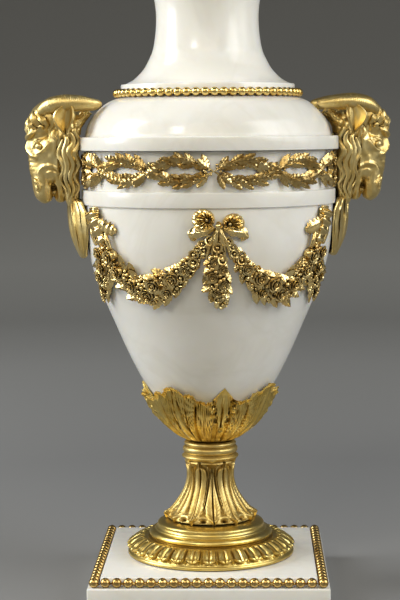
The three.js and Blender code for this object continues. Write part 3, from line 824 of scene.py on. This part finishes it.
def chaseCore(core):
    place = readPoints(core)
    facing = np.empty(len(place) * 3)
    core.data.vertex_normals.foreach_get("vector", facing)
    facing = facing.reshape(-1, 3)
    flank = np.clip(np.abs(facing[:, 1]) * 1.8 - 0.15, 0, 1) * (np.abs(place[:, 1]) > 2.5)
    side = place[:, (0, 2)]
    rise = np.zeros(len(place))
    for x, y, z, reach, depth in hollows:
        for way in (1, -1):
            far = np.linalg.norm(place - (x, way * y, z), axis=1) / reach
            rise -= depth * np.exp(-(far**2))

    def stroke(points, half, height, where=flank):
        far, along = nearStroke(side, points)
        taper = np.clip(np.minimum(along, 1 - along) / 0.12, 0, 1) ** 0.5
        return height * np.exp(-((far / half) ** 2)) * (0.25 + 0.75 * taper) * where

    for points in beardGrooves:
        for aside, half, height in beardStrokes:
            rise += stroke([(x + aside, z) for x, z in points], half, height)
    wider = np.clip(np.abs(facing[:, 1]) * 3, 0.1, 1) * (np.abs(place[:, 1]) > 3)
    for points, half, height in faceRidges:
        rise += stroke(points, half, height, wider)
    for points, half, depth in faceGrooves:
        rise += stroke(points, half, -depth)
    # wool: close tangled curls behind the ear
    x, y, z = place.T
    curl = np.sin(1.55 * z + 1.5 * np.sin(0.9 * x + 0.7 * y))
    curl *= np.cos(1.25 * x + 1.2 * np.sin(1.1 * z - 0.6 * y))
    back = np.clip((80 - x) / 3, 0, 1) * np.clip((z - 254) / 3, 0, 1)
    rise += (0.4 * curl - 1.6) * back
    # soft wrinkles across the nose
    nose = np.clip((x - 101) / 4, 0, 1) * np.exp(-(((z - 239) / 8) ** 2))
    rise += 0.16 * nose * np.cos(z * math.tau / 2.6)
    writePoints(core, place + facing * rise[:, None])
    useModifier(core, "SMOOTH", factor=0.35, iterations=1)


def ramEye(way):
    return ball(ram["eye"], (100.4, way * 11.4, 247.4), 3)


def ramHorn(way):
    # from its blunt end over the brow back along the head, growing and shrinking in fine rings
    rings = ram["hornRings"]
    course = [(100.2, 9.6, 264.6), (97.8, 12.6, 268.4), (92.4, 15.2, 271.2), (84.4, 16.6, 272.4),
              (75.4, 16.6, 272.3), (68.6, 16.2, 271.7), (63.2, 15.6, 271.6)]
    sizes = [(2.0, 1.8), (4.4, 3.4), (6.2, 4.8), (6.3, 5.2), (5.2, 4.5), (3.8, 3.5), (1.9, 2.0)]

    def ringed(t, turn):
        wrap = t * rings + 1.1 * np.sin(turn) + 0.3 * np.sin(9 * t + 2 * turn)
        fine = 0.05 * (2 * np.abs((wrap % 1) - 0.5) - 0.5) + 0.012 * np.sin(math.tau * wrap * 2.3)
        return 1 + fine * np.clip(6 * t, 0, 1) - 0.03 * np.cos(3 * turn)

    return limb([(x, way * y, z) for x, y, z in course], sizes, 32, rings * 5, lump=ringed)


def ramEar(way):
    # a pointed ear that hangs from the horn, hollow in the middle, its back edge rolled forward
    def place(u, v):
        a = 2 * u - 1
        half = 6.9 * np.sin(np.pi * np.clip(0.02 + 0.97 * v**0.9, 0, 1)) ** 1.15
        x = 82.6 + 1.9 * v + 1.0 * np.sin(np.pi * v) + a * half
        z = 272.8 - 19.4 * v + 0.12 * a * half
        cup = 5.4 * a**2 * np.sin(np.pi * v) ** 0.8 - 0.8 * np.exp(-((a / 0.16) ** 2))
        roll = np.clip((-a - 0.4) / 0.6, 0, 1) ** 1.3 * np.sin(np.pi * np.clip(v * 1.1 - 0.1, 0, 1))
        y = way * (20.2 + 0.4 * np.sin(np.pi * v) - 1.8 * v**2 + cup * 0.75 + roll * 1.6)
        return x + roll * 2.9, y, z

    ear = shaped("ear", 20, 28, place)
    useModifier(ear, "SOLIDIFY", thickness=ram["ear"] * mm, offset=0)
    return ear


# locks laid on the head, seen from the side: points (x, z), half width and how far they stand proud
hairLocks = [
    ([(90.2, 274), (90.6, 269), (89.8, 264.6), (90.8, 261.2)], 2.0, 2.2),
    ([(94.8, 273.4), (95.4, 268.4), (93.2, 263.4), (92.2, 259.6), (94, 256.6)], 2.5, 2.6),
    ([(99.2, 271.2), (99.8, 267), (97.4, 262.6), (95.4, 260), (95.6, 257.4)], 2.5, 2.8),
    ([(102.8, 268), (103, 264), (100.8, 260.8), (98.4, 259), (97.8, 257)], 2.3, 2.6),
    ([(105.4, 264.6), (105.6, 261), (103.8, 258.6), (101.4, 257.8)], 2.0, 2.0),
    ([(92.4, 268), (91.4, 263), (89.4, 258.8), (90.6, 255.2)], 1.9, 1.4),
    ([(91, 257.6), (91.8, 254), (90.4, 250.8), (91.4, 247.6)], 1.3, 0.5),
]
beardLocks = [(78.6, 259, 214, 1.9), (81.6, 256, 212.6, 1.9), (84.6, 254, 214, 1.8), (87.4, 252, 219, 1.6)]


def flankAt(core, x, z):
    # how wide the cast core is where a lock lies on it
    place = readPoints(core)
    close = np.hypot(place[:, 0] - x, place[:, 2] - z) < 1.3
    return float(np.abs(place[close, 1]).max()) if close.any() else 0.0


def ramHair(core, way):
    parts = []
    for points, half, proud in hairLocks:
        path = []
        for k, (x, z) in enumerate(spline(points, 9)):
            swell = proud * math.sin(math.pi * (0.15 + 0.85 * k / 8))
            path.append((x, way * (flankAt(core, x, z) + swell - 0.4 * half), z))
        parts.append(lock(path, half, 0.85, (1, 0, 0), 6))
    # the beard falls in broad parallel waves
    for k, (x, top, low, half) in enumerate(beardLocks):
        path = []
        for step in range(14):
            f = step / 13
            z = top + (low - top) * f
            sway = 1.2 + 0.4 * math.sin(1.9 * k + 3 * f)
            across = x + sway * math.sin(math.tau * (z - 213) / (13.5 + 0.8 * k) + 0.7 * k) - 0.6 * k * f**2
            path.append((across, way * (flankAt(core, across, z) + 0.5 - 1.1 * f**3), z))
        parts.append(lock(path, half, 0.7, (1, 0, 0), 6))
    return parts


def ramForehead():
    # locks combed from between the horns down to the brow, ending in hooks
    parts = []
    count = ram["foreheadLocks"]
    rows = [(254.4, 264, 0.62), (259, 268.4, 0.7), (263.8, 272.6, 0.6)]  # lower and upper ends, spread
    for row, (low, high, reach) in enumerate(rows):
        for k in range(-count + row, count - row + 1):
            y = 13.2 * k / count * reach
            bow = 107.4 - 0.03 * y * y - 2.7 * row - (1.4 if row == 2 else 0)
            sway = 1.4 * math.sin(2.4 * k + 1.7 * row) + dice.uniform(-0.4, 0.4)
            drop = dice.uniform(-1.0, 1.0)
            path = [(bow - 7, y * 0.7, high), (bow - 2.8, y * 0.85 + sway, high - 3.2),
                    (bow + 0.2, y - sway, low + 5.4 + drop), (bow + 0.5, y + sway, low + 2.4 + drop),
                    (bow - 0.8, y + sway * 2, low - 0.4 + drop)]
            parts.append(lock(path, 2.3, 0.75, strands=7))
    return parts


def lambrequin():
    # skin drawn out below the neck into a broad hanging tongue, gathered in soft folds
    def gathers(t, turn):
        fold = 0.1 * np.cos(17 * turn + 0.8 + 3 * t) + 0.06 * np.cos(31 * turn - 4 * t)
        return 1 + fold * np.clip(np.sin(turn) * 1.5, 0, 1) * np.clip(1.15 - t, 0, 1)

    path = [(80.2, 0, 217), (80.4, 0, 209), (80.0, 0, 201), (78.7, 0, 193.6), (76.6, 0, 187),
            (74.2, 0, 180.6)]
    sizes = [(14, 3.6), (19.5, 3.8), (20.5, 3.8), (18.5, 3.6), (14, 3.2), (7, 2.4)]
    tongue = limb(path, sizes, 84, 60, lump=gathers)
    place = readPoints(tongue)
    place[:, 0] -= 0.0185 * place[:, 1] ** 2
    writePoints(tongue, place)
    return tongue


def ramHead():
    core = ramCore()
    parts = [core, lambrequin()]
    for way in (1, -1):
        parts += [ramEye(way), ramHorn(way), ramEar(way)] + ramHair(core, way)
    parts += ramForehead()
    return vasePiece(closeUp(joined("gilt_ram_head_right", parts), 0.002))


rightRam = ramHead()
useModifier(rightRam, "DECIMATE", ratio=ram["keep"])
leftRam = otherSide(rightRam, "gilt_ram_head_left")
finish(rightRam, ramGilt, "ram_head_right", 60)
finish(leftRam, ramGilt, "ram_head_left", 60)
print("rams' heads done")


# ornaments that the garlands and friezes are made up from, each lying in its own XY plane
def petalRing(count, radius, lift, span, turn, thick=0.34):
    # overlapping petals round a middle, each cupped and turned out at its lip
    def place(u, v):
        a = 2 * u - 1
        reach = v * (1 - 0.2 * a**2)
        angle = a * span / 2 * (0.55 + 0.45 * np.sin(math.pi * 0.6 * v))
        r = radius * (0.22 + 0.78 * reach**0.75)
        z = lift * (1 - 0.06 * a**2) * np.sin(np.clip(reach * 1.25, 0, 1.25) * math.pi / 2.05)
        return r * np.cos(angle), r * np.sin(angle), z + 0.25 * a

    petal = shaped("petal", 4, 4, place)
    useModifier(petal, "SOLIDIFY", thickness=thick * mm, offset=0)
    ring = [copied(petal, Matrix.Rotation(turn + math.tau * k / count, 4, "Z")) for k in range(count)]
    remove(petal)
    return ring


def roseShape():
    parts = [ball(1.3, (0, 0, 3.3), 1), ball(2.5, (0.2, 0, 1.2), 1), ball(4.3, (0, 0.2, -1.7), 2)]
    for ring in ((3, 2.1, 4.7, 2.3, 0.2), (4, 3.5, 4.1, 1.5, 0.9), (5, 5.0, 2.9, 1.15, 0.1)):
        parts += petalRing(*ring)
    return closeUp(joined("rose", parts), 0.001)


def blossomShape():
    parts = [ball(1.0, (0, 0, 1.7), 1)] + petalRing(5, 3.2, 1.7, 1.3, 0.3)
    return closeUp(joined("blossom", parts), 0.001)


def leafShape(length, width, teeth, name="leaf", curl=0.0):
    # a toothed leaf along +Y: raised on a bent midrib, veined, its tip turned to one side
    def place(u, v):
        a = 2 * u - 1
        half = width / 2 * np.sin(math.pi * np.clip(0.05 + 0.95 * v**0.85, 0, 1)) ** 0.62
        tooth = 1 + 0.3 * ((v * teeth) % 1 - 0.5) * np.abs(a) ** 3
        x = a * half * tooth + curl * v**2
        z = 0.6 + 1.5 * np.sin(math.pi * 0.6 * v) - 1.2 * np.abs(a) ** 1.3 * half / 2
        z += 0.35 * np.exp(-((a / 0.14) ** 2)) + 0.2 * np.cos(math.tau * (v * teeth - 0.7 * np.abs(a)))
        return x, v * length, z

    leaf = shaped(name, 8, 14, place)
    useModifier(leaf, "SOLIDIFY", thickness=0.6 * mm, offset=-0.6)
    return closeUp(leaf, 0.001)


rose = roseShape()
blossom = blossomShape()
broadLeaf = leafShape(10.5, 6.4, 5, curl=1.2)
laurelLeaf = leafShape(9.8, 5.0, 4, curl=0.9)
berry = ball(1.15, (0, 0, 0.7), 1)
ornaments = [rose, blossom, broadLeaf, laurelLeaf, berry]


def onVase(shape, *lay):
    return copied(shape, seat(*lay))


def pleats(around, folds, along=0.0, waves=0):
    # swells a limb in pleats round its section and in waves down its length
    return lambda t, turn: 1 + around * np.cos(folds * turn) + along * np.cos(t * math.tau * waves)


def trail(stations, count):
    # a smooth course over the vase as (degrees, height, heading), the heading turned from level
    fine = spline(stations, count)
    arc = np.column_stack([np.radians(fine[:, 0]) * vase["girth"], fine[:, 1]])
    run = np.gradient(arc, axis=0)
    return [(a, z, math.degrees(math.atan2(dy, dx))) for (a, z), (dx, dy) in zip(fine, run)]


def surfaceLimb(stations, sizes, sides=10, steps=24, lump=None):
    # a limb laid on the vase; a station is (degrees, height, stand) and the width lies along the surface
    path = [tuple(seat(*station).translation / mm) for station in stations]
    a = math.radians(stations[len(stations) // 2][0])
    rise = abs(stations[-1][1] - stations[0][1])
    level = abs(stations[-1][0] - stations[0][0]) * 1.3  # a degree of the girth is about 1.3 mm
    across = (0, 0, 1) if level > rise else (math.cos(a), math.sin(a), 0)
    return limb(path, sizes, sides, steps, across, lump)


# garlands: swags, drops and a bow with its pendant; counts are of berries, leaves and blossoms
garland = {"leftStretch": 1.12, "swag": (80, 26, 24), "drop": (55, 15, 13), "pendant": (60, 22, 16),
           "height": 5.4, "bowLow": 204.0, "bowHigh": 206.4, "backKeep": 0.5}
# how much room a rose, a blossom and a berry take up on the vase, in millimetres of radius
room = {"rose": 4.2, "blossom": 1.9, "berry": 0.72}


def mirrored(way):
    # stations on the left side lie a little further apart than on the right
    stretch = garland["leftStretch"] if way < 0 else 1.0
    return lambda angle, *rest: (way * angle * stretch, *rest)


def bunch(parts, course, widths, roses, counts, seed):
    # heaps flowers on a course: leaves out at its sides, roses, then blossoms and berries in every gap
    chance = random.Random(seed)
    girth = vase["girth"]
    marks = np.linspace(0, len(course) - 1, len(widths))
    taken = [(math.radians(angle) * girth, z, room["rose"] * size) for angle, z, out, size in roses]

    def spotAt(share, side):
        k = min(int(share * (len(course) - 1)), len(course) - 1)
        angle, z, heading = course[k]
        half = float(np.interp(k, marks, widths))
        h = math.radians(heading)
        angle -= math.degrees(side * half * math.sin(h) / girth)
        z += side * half * math.cos(h)
        crown = garland["height"] * (0.35 + 0.65 * half / max(widths))
        crown *= math.sqrt(max(1 - 0.85 * side * side, 0))
        return angle, z, heading, crown, half

    def free(angle, z, reach):
        x = math.radians(angle) * girth
        return all(math.hypot(x - u, z - v) > reach + wide for u, v, wide in taken)

    for k, (angle, z, out, size) in enumerate(roses):
        parts.append(onVase(rose, angle, z, out, 47 * k, 10 * math.sin(3 * k), size))
    berries, leaves, blossoms = counts
    for k in range(leaves):
        way = 1 if k % 2 else -1
        angle, z, heading, crown, half = spotAt(0.08 + 0.92 * (k + 0.5) / leaves, way * 0.5)
        point = heading - 90 + way * chance.uniform(24, 56)
        size = chance.uniform(0.72, 0.92) * min(1, 0.25 + half / 9)
        parts.append(onVase(broadLeaf, angle, z, crown * 0.5, point, chance.uniform(-8, 10), size))
    for k in range(blossoms):
        share = (k + chance.uniform(0.3, 0.7)) / blossoms
        angle, z, heading, crown, half = spotAt(share, chance.uniform(-0.8, 0.8))
        if free(angle, z, 1.0):
            size = chance.uniform(0.75, 1.0)
            turn = chance.uniform(0, 360)
            parts.append(onVase(blossom, angle, z, crown * 0.85, turn, chance.uniform(-20, 20), size))
            taken.append((math.radians(angle) * girth, z, room["blossom"] * size))
    placed = 0
    for k in range(berries * 12):
        side = chance.uniform(-1, 1)
        angle, z, heading, crown, half = spotAt(chance.random(), side)
        size = chance.uniform(0.85, 1.45)
        if placed < berries and free(angle, z, 0.62 * size):
            parts.append(onVase(berry, angle, z, crown * chance.uniform(0.75, 1.0), 0, 0, size))
            taken.append((math.radians(angle) * girth, z, room["berry"] * size))
            placed += 1


def core(parts, stations, stands, sizes, steps):
    # the cast body under a bunch of flowers
    path = [(*spot, stand) for spot, stand in zip(stations, stands)]
    parts.append(surfaceLimb(path, sizes, 12, steps))


def swag(parts, way, seed):
    at = mirrored(way)
    stations = [at(3.6, 196), at(8.0, 187.4), at(14, 177.5), at(23, 169.4), at(33, 167), at(40, 172),
                at(46, 179)]
    core(parts, stations, [0.6, 1.0, 1.4, 1.6, 1.6, 1.4, 1.2],
         [(0.9, 0.9), (1.6, 1.4), (3.4, 2.4), (5.8, 3.2), (6.2, 3.2), (4.8, 2.8), (3.8, 2.4)], 40)
    roses = [at(12.8, 179.4, 3.2, 0.7), at(18.4, 174.6, 4.0, 0.96), at(26, 171.4, 4.4, 1.0),
             at(30.2, 165, 4.0, 0.9), at(37, 170.8, 4.2, 0.94), at(43.6, 177, 3.8, 0.8),
             at(21.4, 166, 3.0, 0.74)]
    widths = [1.3, 2.4, 5.2, 7.8, 8.0, 6.6, 5.2]
    bunch(parts, trail(stations, 90), widths, roses, garland["swag"], seed)


def drop(parts, way, seed):
    # the cluster under the ribbon and the tail of flowers that falls from it beside the ram
    at = mirrored(way)
    stations = [at(46.5, 189), at(50, 182), at(54, 175), at(58.5, 167.5), at(63, 158.5)]
    core(parts, stations, [1, 1.6, 1.6, 1.4, 0.8],
         [(3, 2), (6.2, 3.2), (5.4, 3), (3.2, 2.2), (0.9, 0.8)], 28)
    roses = [at(46.4, 185.4, 4.0, 0.86), at(52.8, 187, 3.6, 0.84), at(51.4, 179, 4.4, 0.9),
             at(56.8, 173, 3.4, 0.74), at(59.6, 166, 2.6, 0.56)]
    bunch(parts, trail(stations, 60), [5, 8.2, 7.2, 4.8, 2.0], roses, garland["drop"], seed)
    sideRibbon(parts, at)


def sideRibbon(parts, at):
    def pleated(t, turn):
        # crisp in front, smooth behind
        front = np.sin(turn) > -0.3
        return 1 + 0.26 * np.cos(t * math.tau * 5) * front + 0.08 * np.cos(5 * turn)

    # down from below the ram's neck, one end turned out to the front
    parts.append(surfaceLimb([at(57, 212.4, 1.8), at(56.4, 207, 3.4), at(54.6, 201, 3.2), at(52.6, 195, 2.8),
                              at(51.4, 188, 2.6)],
                             [(4.4, 1.8), (5.6, 2.8), (4.8, 2.6), (3.6, 2.0), (3.6, 1.8)], 20, 60, pleated))
    parts.append(surfaceLimb([at(52.4, 204.6, 3.0), at(49.4, 202.6, 3.4), at(46.2, 200.4, 2.2),
                              at(43.4, 199.2, 1.0)],
                             [(2.2, 1.4), (3.2, 1.6), (3.6, 1.2), (1.6, 0.7)], 16, 26, pleated))
    # a smooth fold between them and the stem that the flowers hang on
    parts.append(surfaceLimb([at(59.4, 205, 2.2), at(58.4, 198, 3.0), at(56, 190.6, 2.6)],
                             [(1.4, 1.0), (2.0, 1.3), (1.6, 1.2)], 12, 18))
    parts.append(surfaceLimb([at(48.6, 199, 2.6), at(47.6, 193.6, 3.2), at(46.6, 189, 2.8)],
                             [(1.2, 1.0), (1.7, 1.2), (1.4, 1.0)], 12, 18))


def bowLoop(angle, z, radius, way):
    # one loop of the bow: crisp pleats that fan out from a dark hole, wider on the outer side
    hole = 1.35

    def place(u, v):
        theta = u * math.tau
        turn = v * math.tau
        outer = math.radians(90 - way * 42)
        reach = radius * (1 + 0.2 * np.cos(theta - outer))
        fold = np.abs((u * 14) % 1 - 0.5) * 2
        half = (reach - hole) / 2
        r = hole + half + half * (0.9 + 0.1 * fold) * np.cos(turn)
        tall = 1.5 + 1.5 * fold
        z = 1.8 + tall * np.sin(turn) * np.sqrt(np.clip(1.08 - np.abs(np.cos(turn)) ** 3, 0, 1))
        shift = way * 1.9 * (r - hole) / radius
        return r * np.cos(theta) + shift, r * np.sin(theta) * 0.94, z

    loop = shaped("loop", 104, 18, place)
    loop.data.transform(seat(angle, z, 0.2, way * -10, 0))
    return loop


def bow(parts):
    crisp = pleats(0.2, 4, 0.1, 3)
    for way in (1, -1):
        high = garland["bowHigh"] if way < 0 else garland["bowLow"]
        parts.append(bowLoop(way * 4.5, high, 6.2, way))
        # a gilt ball fills the loop's hole, where the painted shade of the gilding darkens it: a dark fill
        # standing in for the shade inside the loop
        parts.append(onVase(berry, way * 4.9, high, 0.1, 0, 0, 1.5))
        # tails: one folded out to the side and one that hangs
        parts.append(surfaceLimb([(way * 1.6, 202.4, 2.6), (way * 5.6, 200.4, 3.4), (way * 9.4, 199.4, 2.6),
                                  (way * 13.2, 199.0 if way < 0 else 196.4, 1.4)],
                                 [(1.1, 1), (2.0, 1.6), (2.5, 1.3), (1.0, 0.6)], 20, 30, crisp))
        parts.append(surfaceLimb([(way * 8.2, 202.4, 1.6), (way * 10.4, 198.6, 2.0),
                                  (way * 11.0, 194.8, 1.2)],
                                 [(2.0, 1.0), (2.8, 1.2), (1.0, 0.5)], 16, 20, crisp))
        # strands from the knot to the swag
        for k, (spread, low) in enumerate([(0.7, 190), (2.2, 187.6), (4.6, 184.6)]):
            path = [(way * 0.5, 203.4, 3.2), (way * (0.6 + 0.25 * spread), 198.6, 3.9 - 0.5 * k),
                    (way * (0.7 + 0.62 * spread), 193.6, 3.0), (way * (0.8 + spread), low, 2.6)]
            parts.append(surfaceLimb(path, [(0.6, 0.6), (1.0, 1.2), (1.15, 1.2), (0.5, 0.5)], 10, 20))
    parts.append(surfaceLimb([(0, 205.6, 2.8), (0, 203.2, 4.0), (0, 200.4, 3.4)],
                             [(1.0, 1), (1.9, 1.7), (1.2, 1)], 20, 16, pleats(0.16, 5)))


def pendant(parts):
    stations = [(0, 196), (-0.4, 188), (-0.6, 179), (0.2, 169), (1.4, 158)]
    core(parts, stations, [1.2, 1.6, 1.8, 1.4, 0.8],
         [(1.0, 1.0), (2.4, 2.0), (5.2, 3.0), (4.2, 2.6), (0.8, 0.7)], 30)
    roses = [(-1.6, 183.6, 3.4, 0.5), (2.0, 179.6, 4.0, 0.6), (-2.6, 175.6, 4.2, 0.66),
             (2.4, 171.2, 3.6, 0.6), (-0.4, 166, 3.0, 0.52)]
    bunch(parts, trail(stations, 70), [1.2, 2.8, 6.2, 5.2, 1.4], roses, garland["pendant"], 21)
    parts.append(onVase(broadLeaf, 1.0, 164.5, 1.6, 174, 0, 0.78))


def garlandPiece():
    parts = []
    for way, seed in ((1, 3), (-1, 5)):
        swag(parts, way, seed)
        drop(parts, way, seed + 20)
    bow(parts)
    pendant(parts)
    return vasePiece(closeUp(joined("gilt_garland_front", parts), 0.001))


frontGarland = garlandPiece()
backGarland = otherSide(frontGarland, "gilt_garland_back", garland["backKeep"])
finish(frontGarland, deepShadeGilt, "garland_front", 50)
finish(backGarland, deepShadeGilt, "garland_back", 50)
print("garlands done")


# laurel friezes: two leafy branches that wave and cross; degree is how many millimetres one is, round there
frieze = {"middle": 233.4, "swing": 6.0, "wave": 56, "shift": -1.8, "reach": 79, "degree": 1.278,
          "leaf": 9.4, "halfBand": 9.4, "backKeep": 0.5}
# clusters of leaves: share of the half wave from one crossing to the next, and how each leaf spreads
clusters = [(0.1, (14, -34, -8)), (0.28, (28, -22, 4)), (0.46, (26, -30, 2)), (0.64, (24, -24, 6)),
            (0.82, (30, -16, 4))]


def branchHeight(degrees, up):
    phase = math.radians((degrees - frieze["shift"]) * 360 / frieze["wave"])
    return frieze["middle"] + up * frieze["swing"] * math.sin(phase)


def laurelBranch(parts, up, chance):
    # grows from the front towards both rams, so its leaves point away from the front
    reach, shift = frieze["reach"], frieze["shift"]
    for way in (1, -1):
        path = []
        for a in np.linspace(shift, way * reach, 34):
            over = 1.5 + 0.9 * up * math.cos(math.radians((a - shift) * 180 / (frieze["wave"] / 2)))
            path.append(tuple(seat(a, branchHeight(a, up), over).translation / mm))
        parts.append(limb(path, [(0.8, 0.8), (0.85, 0.8), (0.75, 0.75)], 8, 120, (0, 0, 1)))
        for wave in range(3):
            for share, spreads in clusters:
                angle = shift + way * (wave + share) * frieze["wave"] / 2
                if abs(angle) < reach - 12:
                    leafCluster(parts, angle, up, way, spreads, chance)


def leafCluster(parts, angle, up, way, spreads, chance):
    # three leaves that follow the branch and three berries among them
    middle = frieze["middle"]
    z = branchHeight(angle, up)
    ahead = branchHeight(angle + way * 0.6, up)
    heading = math.degrees(math.atan2(ahead - z, way * 0.6 * frieze["degree"]))
    outer = 1 if z > middle else -1
    for k, spread in enumerate(spreads):
        turn = heading - 90 + outer * way * -spread + chance.uniform(-6, 6)
        size = chance.uniform(0.86, 1.04) * (0.92 if spread < 0 else 1)
        # leaves stay between the two mouldings
        tip = z + size * frieze["leaf"] * math.cos(math.radians(turn))
        over = max(abs(tip - middle) - frieze["halfBand"], 0)
        size *= max(1 - over / 9, 0.5)
        drift = chance.uniform(-0.8, 0.8)
        stand = 0.5 + 0.55 * k + chance.uniform(0, 0.4)
        parts.append(onVase(laurelLeaf, angle + drift, z, stand, turn, chance.uniform(-2, 8), size))
    for k in range(3):
        aside = chance.uniform(-1.6, 1.6)
        raised = chance.uniform(-1.8, 1.8)
        parts.append(onVase(berry, angle + aside, z + raised, 2.0, 0, 0, chance.uniform(0.6, 0.85)))


def friezeEnds(parts):
    # a knot of ribbon and flowers beside each ram
    middle = frieze["middle"]
    crisp = pleats(0.2, 4, 0.12, 4)
    ribbon = [(7, 0.6, 1.6), (12, 5, 2.6), (8, 8.4, 2.8), (4, 5, 2.4)]  # in from the edge, up and out
    for way in (1, -1):
        edge = frieze["reach"] - (3 if way > 0 else -2)
        for up in (1, -1):
            path = [(way * (edge - back), middle + up * rise, stand) for back, rise, stand in ribbon]
            parts.append(surfaceLimb(path, [(1.3, 1.0), (2.2, 1.5), (2.3, 1.5), (1.4, 1.0)], 16, 30, crisp))
            parts.append(onVase(blossom, way * (edge - 2), middle + up * 5.8, 1.6, 20 * up, 0, 1.1))
            parts.append(onVase(blossom, way * (edge - 6.4), middle + up * 4.6, 2.6, 50 * up, 0, 0.9))
            turn = -way * (90 + up * 24)
            parts.append(onVase(laurelLeaf, way * (edge - 11), middle + up * 3, 1.4, turn, 0, 0.8))
            for k in range(5):
                angle = way * (edge - 1.5 - 1.9 * k)
                parts.append(onVase(berry, angle, middle + up * (2.2 + 1.4 * (k % 2)), 2.4, 0, 0, 0.85))
        parts.append(onVase(rose, way * (edge - 4.4), middle, 1.0, 15, 0, 0.72))


def friezePiece():
    parts = []
    chance = random.Random(11)
    for up in (1, -1):
        laurelBranch(parts, up, chance)
    friezeEnds(parts)
    return vasePiece(closeUp(joined("gilt_laurel_frieze_front", parts), 0.001))


frontFrieze = friezePiece()
backFrieze = otherSide(frontFrieze, "gilt_laurel_frieze_back", frieze["backKeep"])
finish(frontFrieze, friezeGilt, "laurel_frieze_front", 50)
finish(backFrieze, friezeGilt, "laurel_frieze_back", 50)
for piece in ornaments:
    remove(piece)
print("friezes done")


# floor, light and camera
studio = {"flat": 1.5, "wall": 2.7, "tall": 1.25, "ambient": 0.25, "air": "8a8a88"}
# painted light: the paper's grey is darker near the urn, paler further out and darker again up the wall, as
# light falls on it
studio["paper"] = ((0.15, "838382"), (0.36, "a2a2a0"), (0.66, "b4b4b0"), (0.85, "8e8d89"), (0.95, "878681"))
lamps = {
    # place, width, height, power and tint of each softbox
    "leftBox": ((-1.264, -0.111, 0.812), 0.6, 1.1, 19.5, (0.98, 1.0, 1.02)),
    "rightBox": ((1.125, -0.65, 0.97), 0.6, 1.1, 10.5, (0.98, 1.0, 1.02)),
    "farRightBox": ((1.264, -0.111, 0.812), 0.6, 1.1, 4.5, (0.98, 1.0, 1.02)),
    "sparkle": ((-0.62, -1.15, 1.0), 0.22, 0.22, 3.2, (1.0, 0.98, 0.92)),
    "frontPanel": ((0.0, -1.638, 1.367), 1.6, 1.0, 8.5, (1.0, 0.86, 0.62)),
}


def studioBackdrop():
    # pale paper laid over the floor and swept up all round in one curve
    flat, wall, tall = studio["flat"] / mm, studio["wall"] / mm, studio["tall"] / mm
    bend = wall - flat
    curve = [(flat + bend * math.sin(a), bend * (1 - math.cos(a))) for a in np.linspace(0, math.pi / 2, 24)]
    sweep = turned("studio_backdrop", [(0, 0), (flat / 2, 0)] + curve + [(wall, tall)], 96)
    pick(sweep)
    bpy.ops.object.shade_smooth()
    # matt rolled paper, pale grey with no shine of its own
    material, tree, shader, place = newMaterial("grey studio paper")
    # painted light: the grey is graded with distance from the middle, standing in for how the lamps light
    # the paper
    away = addNode(tree, "VectorMath", {0: place}, operation="LENGTH")
    spread = addNode(tree, "MapRange", {"Value": away.outputs["Value"]}, From_Max=2.8)
    shade = addNode(tree, "ValToRGB", {0: spread.outputs[0]}, studio["paper"])
    tree.links.new(shade.outputs[0], shader.inputs["Base Color"])
    shader.inputs["Roughness"].default_value = 0.9
    sweep.data.materials.append(material)


def softbox(name, place, width, height, power, tint):
    lamp = fresh(name, bpy.ops.object.light_add, type="AREA", location=place)
    lamp.data.shape = "RECTANGLE"
    lamp.data.size = width
    lamp.data.size_y = height
    lamp.data.energy = power
    lamp.data.color = tint
    aim = Vector((0, 0, 0.22)) - Vector(place)
    lamp.rotation_euler = aim.to_track_quat("-Z", "Y").to_euler()


def studioLight():
    world = bpy.data.worlds.new("studio")
    bpy.context.scene.world = world
    world.use_nodes = True
    background = world.node_tree.nodes["Background"]
    background.inputs[0].default_value = colour(studio["air"])
    background.inputs[1].default_value = studio["ambient"]
    for name, (place, width, height, power, tint) in lamps.items():
        softbox(name, place, width, height, power, tint)


lens = {"length": 102.02, "place": (0.0233, -1.0199, 0.2781), "yaw": 1.62, "down": 5.696, "roll": -0.42}


def placeCamera():
    # long lens at a little over a metre, looking slightly down
    camera = fresh("Camera", bpy.ops.object.camera_add, location=lens["place"])
    camera.data.lens = lens["length"]
    camera.data.sensor_width = 36
    camera.data.clip_start = 0.02
    aim = Matrix.Rotation(math.radians(lens["yaw"]), 4, "Z")
    aim = aim @ Matrix.Rotation(math.radians(90 - lens["down"]), 4, "X")
    aim = aim @ Matrix.Rotation(math.radians(lens["roll"]), 4, "Z")
    camera.rotation_euler = aim.to_euler()
    bpy.context.scene.camera = camera


studioBackdrop()
studioLight()
placeCamera()
bpy.context.scene.view_settings.view_transform = "Standard"
print("studio done")
